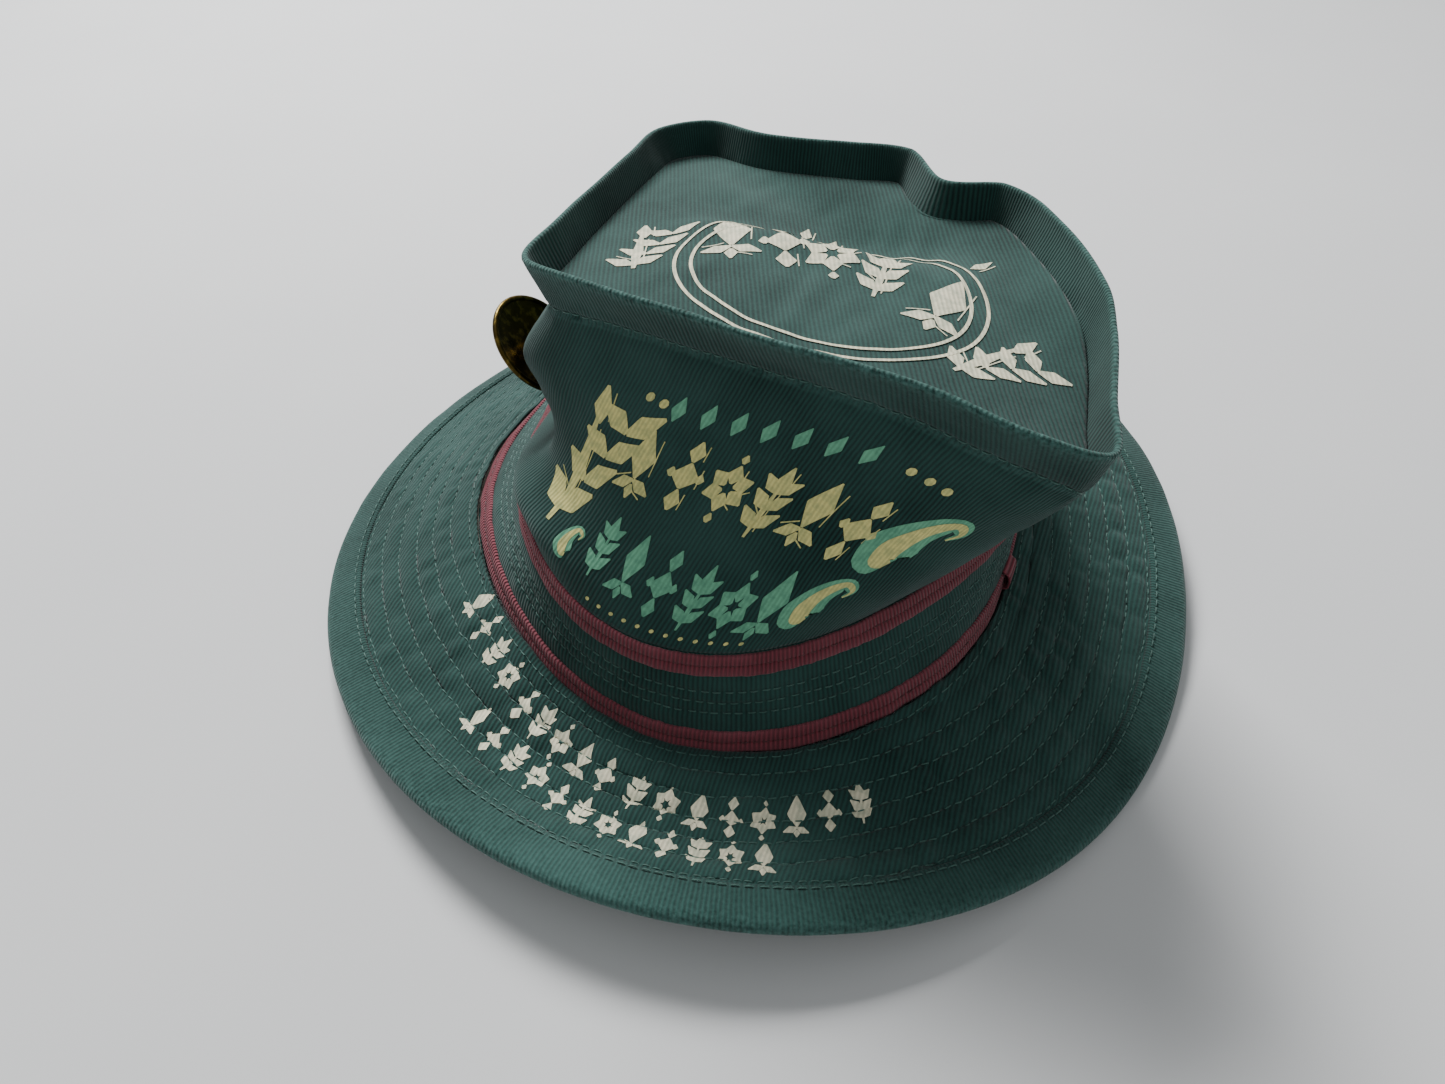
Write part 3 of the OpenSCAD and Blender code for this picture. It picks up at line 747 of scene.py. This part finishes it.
def makeBand():
    green = cloth("baseBand", bandCloth, np.linspace(-seamBelow + 0.2, bandTop - 0.2, 46), -shape["cloth"],
                  0,
                  round(560 / ribPitch))
    dress(green, "green", "green_twill", "hat_base", "base_band")
    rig.sheet(green, flat=(0.031, 0.56), held="stretched", rests_on=["sweatband"])
    half = shape["tapeWidth"] / 2
    d = np.array([-1, -0.97, -0.85, -0.5, -0.12, 0.0, 0.12, 0.5, 0.85, 0.97, 1]) * half
    h = np.array([0.1, 0.55, 0.85, 0.92, 0.86, 0.5, 0.86, 0.92, 0.85, 0.55, 0.1])
    for name, at, cadNode, seed in (("lowerTape", 0, "lower_tape", 21),
                                    ("upperTape", shape["tapeGap"], "upper_tape", 22)):
        def tapeLine(u, s, at=at, seed=seed):
            u, s = stepped(u, s)
            fray = 0.22 * grain(u, s, 330, 2, seed) * np.clip(np.abs(s - at) - half + 1.2, 0, 1)
            return band(u, s + fray) + (0.25 * grain(u, s, 90, 9, seed + 5))[..., None] * outward(u)
        st = np.concatenate([d, d[::-1]]) + at
        hs = np.concatenate([h + 0.15, np.full(len(d), -0.1)])
        loops = section(tapeLine, around, st, hs)
        uu, edge = np.append(around, 360), np.append(st, st[0])
        wear = np.interp(np.abs(edge - at), [0, 0.5, 2.2, half], [0.0, 0.5, 0.5, 1.0])
        tape = woven(name, loops, ribs(uu[:, None], edge[None, :], round(560 / 1.15), wear[None, :]))
        dress(tape, "maroon", "maroon_tape", "hat_base", cadNode)
    u = np.linspace(350.2, 355.8, 12)
    d = np.array([-2.2, -2.0, -1.4, 0.8, 2.8, 3.6, 4.4, 5.0])
    h = np.array([0.9, 2.0, 2.7, 3.1, 2.9, 2.4, 1.4, 0.6])
    st, hs = np.concatenate([d, d[::-1]]), np.concatenate([h, np.maximum(h[::-1] - 0.6, 0.3)])
    loops = section(band, u, st, hs)
    weave = np.stack(np.broadcast_arrays(np.append(st, st[0])[None, :] / 1.15,
                                         np.append(u, u[-1])[:, None], 0.6), -1)
    keeper = woven("tapeKeeper", loops, weave, ringed=False)
    dress(keeper, "maroon", "maroon_tape", "hat_base", "tape_keeper")
    print("band and tapes made")


def makeLining():
    s = np.linspace(-seamBelow + 0.3, 23.4, 30)
    inside = shape["cloth"] + 0.1
    def sweat(u, v):
        u, v = stepped(u, v)
        return band(u, v) - (0.12 * (1 + grain(u, v, 90, 8, 30)) * bump(v - 10, 13))[..., None] * outward(u)
    piece = cloth("sweatbandCloth", sweat, s, -inside - 0.7, -inside, round(540 / ribPitch))
    dress(piece, "lining", "dark_cotton", "hat_base", "sweatband")
    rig.sheet(piece, flat=(0.027, 0.55), held="stretched", rests_on=["base_band"])
    edge = cloth("sweatbandBinding", sweat, [19.6, 20.2, 21.5, 22.8, 23.3], -inside - 1.5, -inside - 0.85,
                 470)
    dress(edge, "maroon", "maroon_tape", "hat_base", "sweatband_binding")
    for name, cadNode, low, high in (("sizeLabel", "size_label", 84, 96),
                                     ("careLabel", "care_label", 60, 78)):
        tag = cloth(name, sweat, np.linspace(4, 17, 12), -inside - 1.5, -inside - 1.1, 0,
                    u=np.linspace(low, high, 20), ringed=False)
        dress(tag, "label", "white_label", "hat_base", cadNode)
    print("sweatband and labels made")


def makeCrown():
    # One cloth: up the wall, up the rim, over the crest, down inside and back along the wall's inner side
    t = np.concatenate([np.linspace(0, 0.9, 58), np.linspace(0.915, 0.995, 8)])
    s = np.concatenate([np.linspace(0.15, 2.2, 8), np.linspace(3.2, shape["rimHeight"] - 0.8, 14)])
    inner = s[::-1][:-3]
    crest = section(rimCloth, around, [shape["rimHeight"] - 0.25, shape["rimHeight"],
                                       shape["rimHeight"] - 0.25],
                    [-0.2, -rimThick / 2, -rimThick + 0.2])
    loops = np.concatenate([
        section(wall, around, t, 0, 0.01), section(rimCloth, around, s, 0), crest,
        section(rimCloth, around, inner, -rimThick), section(wall, around, t[::-1][2:], -shape["cloth"],
                                                            0.01)], 1)
    uu = np.append(around, 360)
    climb = np.concatenate([[0], np.cumsum(np.linalg.norm(np.diff(loops.mean(0), axis=0), axis=1))])
    climb = np.append(climb, climb[-1] + 1)
    wear = np.zeros(len(climb))
    at = len(t)
    wear[at + 12:at + 26] = [0.02, 0.04, 0.06, 0.08, 0.1, 0.14, 0.2, 0.3, 0.5, 0.8, 0.95, 0.9, 0.6, 0.3]
    wear[at - 2:at + 3] = 0.35
    weave = ribs(uu[:, None], climb[None, :], round(560 / ribPitch), wear[None, :])
    piece = woven("crownCloth", loops, weave)
    dressWall(piece, "green", "green_twill", "crown_front", "crown_back", "crown_rim")
    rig.sheet(piece, flat=(0.54, 0.1), held="stretched", rests_on=["base_band"])
    for name, cadNode, centre in (("sideSeamLeft", "side_seam_binding_left", 0),
                                  ("sideSeamRight", "side_seam_binding_right", 180)):
        strip = cloth(name, wall, np.linspace(0.02, 0.97, 40), -shape["cloth"] - 0.7,
                      -shape["cloth"] - 0.15, 470,
                      u=np.linspace(centre - 3, centre + 3, 9), ringed=False, ds=0.01)
        dressWall(strip, "maroon", "maroon_tape", cadNode)
    print("crown wall and rim made")


# The tip has slumped into a hollow behind a soft ridge
tipCut = dict(grainAngle=math.radians(23), sag=1.6, fine=0.5, ridge=2.5, ridgeAt=(12, 0), ridgeSize=(34, 8),
              hollow=8, hollowAt=(16, 19), hollowSize=(34, 14))


def tip(u, w):
    # A soft skin stretched over its sewn edge: the edge's ups and downs fade towards the middle
    u, w = stepped(u, w)
    edge = pushed(rim, around, 0 * around + shape["rimHeight"] - shape["tipDrop"],
                  0 * around - rimThick - 0.5)
    spectrum = np.fft.rfft(edge, axis=0)[:60]
    k = np.arange(60)
    angle = np.exp(1j * np.radians(u)[..., None] * k) * np.maximum(w, 1e-6)[..., None] ** k
    weight = np.where(k == 0, 1, 2) / len(around)
    p = np.einsum("...k,kc->...c", angle * weight, spectrum).real
    z = (shape["tipDome"] * (1 - w ** 2) - shape["tipDent"] * bump(apart(u, 85), 60) * bump(w - 0.6, 0.4)
         + (1 - w ** 4) * (tipCut["sag"] * grain(p[..., 0] * 2 + 180, p[..., 1], 10, 38, 31)
                           + tipCut["fine"] * grain(p[..., 0] * 2 + 180, p[..., 1], 34, 13, 32)))
    for key, sign in (("ridge", 1), ("hollow", -1)):
        dx = (p[..., 0] - tipCut[key + "At"][0]) / tipCut[key + "Size"][0]
        dy = (p[..., 1] - tipCut[key + "At"][1]) / tipCut[key + "Size"][1]
        z = z + sign * tipCut[key] * np.exp(-dx ** 2 - dy ** 2) * (1 - w ** 6)
    return p + rise(z)


def makeTip():
    w = np.concatenate([[0.001], np.linspace(0.02, 0.9, 56), np.linspace(0.92, 1.0, 6)])
    upper = tip(around[:, None], w[None, :])
    lower = upper - rise(0 * upper[..., 0] + shape["cloth"])
    loops = np.concatenate([upper, lower[:, ::-1]], 1)
    uu, ww = np.append(around, 360), np.concatenate([w, w[::-1], w[:1]])
    q = tip(uu[:, None], ww[None, :])
    a = tipCut["grainAngle"]
    weave = np.stack([(q[..., 0] * math.cos(a) + q[..., 1] * math.sin(a)) / ribPitch,
                      q[..., 1] * math.cos(a) - q[..., 0] * math.sin(a), 0 * q[..., 0] + 0.08], -1)
    piece = woven("crownTip", loops, weave)
    dress(piece, "green", "green_twill", "crown_top", "crown_tip")
    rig.sheet(piece, flat=(0.165, 0.14), area=0.0165, held="stretched", rests_on=["crownCloth"])
    edge = cloth("tipSeamBinding", rim, [0.4, 1.4, 2.6, 3.6], -rimThick - 1.0, -rimThick - 0.3, 470)
    dress(edge, "maroon", "maroon_tape", "crown_top", "tip_seam_binding")
    print("tip made")
    return upper


# A motif is a list of strokes in a box 1 high: points along the stroke, and its width at each point
def petal(x, y, angle, length, width):
    # One leaf-shaped stroke that starts at x, y and points along the angle, in degrees from straight up
    dx, dy = length * math.sin(math.radians(angle)), length * math.cos(math.radians(angle))
    return [(x, y), (x + 0.45 * dx, y + 0.45 * dy), (x + dx, y + dy)], [0.03, width, 0.02]


motifs = dict(
    leaf=[petal(0, -0.5, 0, 1.0, 0.34)],
    diamonds=[petal(0, -0.5, 0, 0.3, 0.2), petal(0, -0.19, 0, 0.38, 0.36), petal(0, 0.2, 0, 0.3, 0.2),
              petal(-0.22, -0.07, 0, 0.14, 0.12), petal(0.22, -0.07, 0, 0.14, 0.12)],
    fern=[petal(0, -0.5, 0, 0.75, 0.07), petal(0, 0.12, 0, 0.38, 0.16)]
         + [petal(0, y, side * 50, 0.34, 0.15) for y in (-0.36, -0.12, 0.1) for side in (-1, 1)],
    flower=[petal(0.07 * math.sin(k), 0.07 * math.cos(k), math.degrees(k), 0.27, 0.2)
            for k in np.arange(6) * math.pi / 3] + [petal(0, -0.5, 0, 0.13, 0.1),
                                                    petal(0, 0.37, 0, 0.13, 0.1)],
    bud=[petal(0, -0.22, 0, 0.72, 0.34), petal(0, -0.24, 115, 0.34, 0.14),
         petal(0, -0.24, -115, 0.34, 0.14),
         petal(0, -0.3, 180, 0.2, 0.12)],
    branch=[petal(-0.12, -0.5, 8, 0.8, 0.09), petal(0, 0.2, 6, 0.3, 0.13)]
           + [petal(-0.12 + 0.13 * k, -0.42 + 0.2 * k, side * 58 + 6, 0.3,
                    0.13) for k in range(4) for side in (-1, 1)],
    paisley=[([(0.06, -0.34), (-0.02, -0.3), (-0.06, -0.1), (0.02, 0.14), (0.2, 0.32), (0.34, 0.22),
               (0.28, 0.1)],
              [0.2, 0.46, 0.52, 0.36, 0.2, 0.12, 0.04])],
    dot=[([(0, -0.5), (0, -0.35), (0, 0), (0, 0.35), (0, 0.5)], [0.1, 0.7, 1.0, 0.7, 0.1])])


def drawn(points, count):
    p = np.array(points, float)
    t = np.linspace(0, len(p) - 1, count)
    i = np.minimum(t.astype(int), len(p) - 2)
    f = (t - i)[:, None]
    q = np.vstack([2 * p[0] - p[1], p, 2 * p[-1] - p[-2]])
    a, b, c, d = q[i], q[i + 1], q[i + 2], q[i + 3]
    return 0.5 * (2 * b + (c - a) * f + (2 * a - 5 * b + 4 * c - d) * f ** 2 + (3 * b - a - 3 * c + d)
                  * f ** 3)


def brushed(points, widths, count=30, sideways=0.0, share=1.0):
    line = drawn(points, count)
    width = np.interp(np.linspace(0, 1, count), np.linspace(0, 1, len(widths)), widths) * share
    along = unit(np.gradient(line, axis=0))
    left = np.stack([-along[:, 1], along[:, 0]], -1)
    across = np.linspace(-0.5, 0.5, 5)
    return line[:, None] + left[:, None] * (across[None, :, None] * width[:, None, None] + sideways)


def motifGrids(kind, height, tilt, share=1.0, echo=0.0, narrow=1.0):
    # Strokes in mm round the motif's middle; an echo is the thin second line beside each stroke
    turn = math.radians(tilt)
    spin = np.array([[math.cos(turn), math.sin(turn)], [-math.sin(turn), math.cos(turn)]])
    size = (height * narrow, height)
    grids = [brushed(pts, w, share=share) * size @ spin for pts, w in motifs[kind]]
    if echo:
        for pts, w in motifs[kind][:3]:
            side = -(max(w) / 2 + echo / height)
            grids.append(brushed(pts, [0.38 / height] * 2, sideways=side)[4:-4] * size @ spin)
    return grids


def printed(name, finishName, laid, weaveOf):
    # laid is a list of (points on the cloth, two cloth coordinates of each), one grid for each stroke
    points, faces, corners, start = [], [], [], 0
    for grid, first, second in laid:
        n, m = grid.shape[:2]
        i, j = np.meshgrid(np.arange(n - 1), np.arange(m - 1), indexing="ij")
        quad = np.stack([i * m + j, (i + 1) * m + j, (i + 1) * m + j + 1, i * m + j + 1], -1).reshape(-1, 4)
        points.append(grid.reshape(-1, 3))
        faces.append(quad + start)
        corners.append(weaveOf(first, second).reshape(-1, 3)[quad].reshape(-1, 3))
        start += n * m
    piece = newObject(name, np.vstack(points), np.vstack(faces), np.vstack(corners))
    piece.data.materials.append(finish[finishName])
    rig.slot(piece, "green_twill")
    return piece


inkLift = 0.13


def onWall(kind, u0, t0, height, tilt=0, share=1.0, echo=0.0, narrow=1.0, lift=inkLift):
    one = np.array([0.0])
    perDegree = np.linalg.norm(wallPlain(one + u0 + 1, one + t0) - wallPlain(one + u0 - 1, one + t0)) / 2
    perT = np.linalg.norm(wallPlain(one + u0, one + t0 + 0.02) - wallPlain(one + u0,
                                                            one + t0 - 0.02)) / 0.04
    for g in motifGrids(kind, height, tilt, share, echo, narrow):
        u, t = u0 + g[..., 0] / perDegree, np.clip(t0 + g[..., 1] / perT, 0.02, 0.97)
        yield pushed(wall, u, t, lift + 0 * u, 0.01), u, t


def onBrim(kind, u0, d0, height, tilt=0):
    perDegree = np.linalg.norm(np.diff(brim(np.array([u0 - 1.0, u0 + 1.0]), np.array([d0, d0])),
                                       axis=0)) / 2
    for g in motifGrids(kind, height, tilt, share=1.35):
        u, d = u0 + g[..., 0] / perDegree, d0 + g[..., 1]
        yield pushed(brimCloth, u, d, plyOut + inkLift + 0 * u), u, d


# Places of the motifs: kind, azimuth, height up the wall (0 to 1), height in mm, tilt
wallMotifs = dict(
    yellow=[("branch", 240, 0.47, 43, 16), ("bud", 250.5, 0.53, 22, 8), ("diamonds", 259, 0.56, 22, 4),
            ("flower", 267, 0.57, 22, 0), ("fern", 275, 0.57, 23, -4), ("bud", 283, 0.57, 22, -8),
            ("diamonds", 291, 0.56, 22, -12)],
    yellowDots=[(245, 0.77), (248, 0.765), (291.5, 0.83), (295, 0.82), (298.5, 0.805)],
    mintSmall=[("leaf", 251 + 5.6 * k, 0.765 + 0.012 * k, 7.5, -3 * k) for k in range(7)],
    mintTall=[("fern", 254, 0.23, 20, 6), ("bud", 260.5, 0.22, 21, 4), ("diamonds", 267, 0.21, 22, 2),
              ("fern", 273.5, 0.2, 22, 0), ("flower", 280, 0.2, 23, -2), ("bud", 286, 0.21, 24, -4)],
    drops=[(247.5, 0.17, 12, 20), (293, 0.24, 21, -6), (300.5, 0.56, 28, -14)],
    smallDots=[(257 + 2.6 * k, 0.045) for k in range(12)])


def makeWallPrint():
    count = round(560 / ribPitch)
    def weaveOf(u, t):
        return np.stack([u / 360 * count, t * 60, 0 * u], -1)
    yellow, mint = [], []
    for kind, u, t, height, tilt in wallMotifs["yellow"]:
        yellow += onWall(kind, u, t, height, tilt, share=1.25, echo=0.8, narrow=0.8)
    for u, t in wallMotifs["yellowDots"]:
        yellow += onWall("dot", u, t, 2.6)
    for u, t in wallMotifs["smallDots"]:
        yellow += onWall("dot", u, t, 1.3)
    for kind, u, t, height, tilt in wallMotifs["mintSmall"]:
        mint += onWall(kind, u, t, height, tilt, share=1.6)
    for kind, u, t, height, tilt in wallMotifs["mintTall"]:
        mint += onWall(kind, u, t, height, tilt, share=1.25, narrow=0.68)
    for u, t, height, tilt in wallMotifs["drops"]:
        mint += onWall("paisley", u, t, height, tilt)
        yellow += onWall("paisley", u, t, height, tilt, share=0.45, lift=inkLift * 1.8)
    for name, finishName, laid in (("wallPrintYellow", "yellowInk", yellow),
                                   ("wallPrintMint", "mintInk", mint)):
        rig.blend(printed(name, finishName, laid, weaveOf), "hat_base", "crown_top", start=crushFrom,
                 end=crushTo)
    print("wall print laid")


# Two rows of small motifs: azimuth from and to, distance inside the edge at both ends, how many
brimRows = [(232.5, 247, 47.5, 42.5, 4), (252.5, 269, 40.5, 36.5, 5), (274, 287, 35, 33, 4),
            (291, 303.5, 32.5, 34, 4),
            (248.5, 261, 28, 26.5, 4), (265, 291, 24, 20.5, 8)]


def makeBrimPrint():
    laid, kinds = [], ("bud", "diamonds", "fern", "flower")
    for row, (a, b, da, db, many) in enumerate(brimRows):
        for k in range(many):
            share = k / (many - 1)
            laid += onBrim(kinds[(k + row) % 4], a + (b - a) * share, da + (db - da) * share, 11, -6)
    piece = printed("brimPrint", "creamInk", laid,
                    lambda u, d: np.stack([brim(u, d)[..., 0] / ribPitch, brim(u, d)[..., 1], 0 * u], -1))
    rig.ride(piece, "hat_base")
    print("brim print laid")


# On the tip, places are x and y in mm: the motifs stand in an arc, with a double oval line over them
tipMotifs = [("branch", -31, -16, 27, 28), ("bud", -9, -5, 24, 20), ("diamonds", 6, -4, 22, 24),
             ("flower", 20, -4, 22, 20), ("fern", 35, -6, 22, 4), ("bud", 54, -15, 23, -8),
             ("branch", 72, -29, 26, -24), ("leaf", 4, 22, 8, 10), ("leaf", 13, 20, 8, 5),
             ("leaf", 58, 12, 8, -30)]
tipRings = dict(centre=(23, -16), tilt=-8, radii=((43, 35), (38.5, 30.5)), line=1.0)


def makeTipPrint(upper):
    n, m = upper.shape[:2]
    i, j = np.meshgrid(np.arange(n), np.arange(m - 1), indexing="ij")
    a, b = i * m + j, (i + 1) % n * m + j
    skin = BVHTree.FromPolygons(upper.reshape(-1, 3).tolist(),
                                np.stack([a, b, b + 1, a + 1], -1).reshape(-1, 4).tolist())
    def lay(grid, lift):
        hits = [skin.ray_cast((x, y, 400), (0, 0, -1))[0].z for x, y in grid.reshape(-1, 2)]
        return np.dstack([grid, np.reshape(hits, grid.shape[:2]) + lift]), grid[..., 0], grid[..., 1]
    laid = []
    for kind, x, y, height, tilt in tipMotifs:
        laid += [lay(g + (x, y), inkLift + 0.1) for g in motifGrids(kind, height * 1.12, tilt, 1.2,
                                                            echo=0.8)]
    turn = np.linspace(0, 2 * np.pi, 181)
    lean = math.radians(tipRings["tilt"])
    for a, b in tipRings["radii"]:
        edge = [np.stack([(a + k) * np.cos(turn), (b + k) * np.sin(turn)], -1)
                for k in np.linspace(-0.5, 0.5, 3) * tipRings["line"]]
        oneRing = np.stack(edge, 1)
        spin = np.array([[math.cos(lean), math.sin(lean)], [-math.sin(lean), math.cos(lean)]])
        laid.append(lay(oneRing @ spin + tipRings["centre"], inkLift + 0.16))
    a = tipCut["grainAngle"]
    piece = printed("tipPrint", "creamInk", laid,
                    lambda x, y: np.stack([(x * math.cos(a) + y * math.sin(a)) / ribPitch, y, 0 * x], -1))
    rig.ride(piece, "crown_top")
    print("tip print laid")


def sewAll():
    def stretched(share):
        def f(u, s):
            return brimCloth(u, brimLength(u) - s) if share else brimCloth(u, s)
        return f
    top = plyOut + 0.05
    rows = [(brimCloth, d, top, 2.5, 0.8, 0.42, 0.3) for d in stitchRows["brim"]]
    rows.append((stretched(True), stitchRows["nextToTape"], -top, 2.5, 0.8, 0.42, 0.3))
    quilt = stitches("brimQuilting", rows)
    dress(quilt, "thread", "teal_thread", "hat_base", "brim_quilting")
    hemRow = stitches("hemStitching", [(brim, shape["hemWidth"] - 1.7, hemOut + 0.25, 2.5, 0.8, 0.42, 0.3)])
    dress(hemRow, "thread", "teal_thread", "hat_base", "hem_stitching")
    bandRow = stitches("bandStitching",
                       [(bandCloth, s, 0.1, 2.5, 0.8, 0.4, 0.3) for s in stitchRows["band"]])
    dress(bandRow, "thread", "teal_thread", "hat_base", "band_stitching")
    tapeRow = stitches("tapeStitching", [(band, s, 0.72, 2.2, 0.9, 0.36, 0.3) for s in (0.0,
                                                            shape["tapeGap"])])
    dress(tapeRow, "redThread", "maroon_tape", "hat_base", "tape_stitching")
    rimRow = stitches("rimTopstitch", [(rimCloth, 1.0, 0.08, 2.6, 0.7, 0.42, 0.3)])
    dress(rimRow, "thread", "teal_thread", "crown_top", "rim_topstitch")
    print("stitches sewn")


makeBrim()
makeHem()
makeBand()
makeLining()
makeCrown()
tipSurface = makeTip()
makeWallPrint()
makeBrimPrint()
makeTipPrint(tipSurface)
sewAll()

for name in ("badge_disc", "badge_post", "badge_cap", "badge_washer"):
    part = frame["nodes"][name]
    part.data.materials.clear()
    part.data.materials.append(finish["brass"])
feltPart = frame["nodes"]["brim_stiffener"]
feltPart.data.materials.clear()
feltPart.data.materials.append(finish["felt"])

studio = dict(floor="#D9DADA", key=(-0.7, 0.7, 1.15), keySize=0.55, keyWatts=40, fill=(0.9, -0.9, 1.0),
              fillSize=1.4, fillWatts=3, sky=0.36)


def makeStudio():
    bpy.ops.mesh.primitive_plane_add(size=6, location=(0, 0, -0.0004))
    floor = bpy.context.object
    floor.name = "studioFloor"
    def look(tree):
        soft = node(tree, "ShaderNodeMapRange", (-400, 200),
                    {"From Min": 0.3, "From Max": 0.7, "To Min": 0, "To Max": 1},
                    {"Value": node(tree, "ShaderNodeTexNoise", (-600, 200),
                                   {"Scale": 3, "Detail": 3, "Roughness": 0.6},
                                   {"Vector": node(tree, "ShaderNodeTexCoord", (-800, 200), out=3)})})
        return node(tree, "ShaderNodeMix", (-200, 200),
                    {"data_type": "RGBA", 6: linear("#D2D3D4"), 7: linear(studio["floor"])}, {0: soft},
                    out=2), None, None
    floor.data.materials.append(material("paleFloor", look, {"Roughness": 0.9}))
    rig.stage(floor)
    for name, place, size, watts in (("keyLight", studio["key"], studio["keySize"], studio["keyWatts"]),
                                     ("fillLight", studio["fill"], studio["fillSize"],
                                      studio["fillWatts"])):
        lamp = bpy.data.lights.new(name, "AREA")
        lamp.size, lamp.energy = size, watts
        obj = bpy.data.objects.new(name, lamp)
        obj.location = place
        aim = -np.array(place) / np.linalg.norm(place)
        obj.rotation_euler = (math.acos(-aim[2]), 0, math.atan2(aim[1], aim[0]) - math.pi / 2)
        bpy.context.scene.collection.objects.link(obj)
    world = bpy.data.worlds.new("studioWorld")
    world.use_nodes = True
    world.node_tree.nodes["Background"].inputs["Color"].default_value = (0.9, 0.93, 0.95, 1)
    world.node_tree.nodes["Background"].inputs["Strength"].default_value = studio["sky"]
    bpy.context.scene.world = world


view = dict(place=(0.0929, -0.2559, 0.2559), yaw=22.85, pitch=43.82, roll=0.53, lens=26.16)


def makeCamera():
    yaw, pitch, roll = (math.radians(view[k]) for k in ("yaw", "pitch", "roll"))
    ahead = np.array([-math.sin(yaw) * math.cos(pitch), math.cos(yaw) * math.cos(pitch), -math.sin(pitch)])
    right = np.array([math.cos(yaw), math.sin(yaw), 0])
    down = np.cross(ahead, right)
    right, down = (math.cos(roll) * right + math.sin(roll) * down,
                   math.cos(roll) * down - math.sin(roll) * right)
    data = bpy.data.cameras.new("camera")
    data.lens, data.sensor_width, data.clip_start = view["lens"], 36, 0.01
    cam = bpy.data.objects.new("camera", data)
    cam.matrix_world = Matrix([[right[i], -down[i], -ahead[i], view["place"][i]] for i in range(3)] + [[0,
                                                            0, 0, 1]])
    bpy.context.scene.collection.objects.link(cam)
    bpy.context.scene.camera = cam


makeStudio()
makeCamera()
print("studio and camera set")

json.dump({"cad": [list(v) for v in cadBox], "visual": [list(v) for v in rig.bounds()]},
          open("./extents.json", "w"))
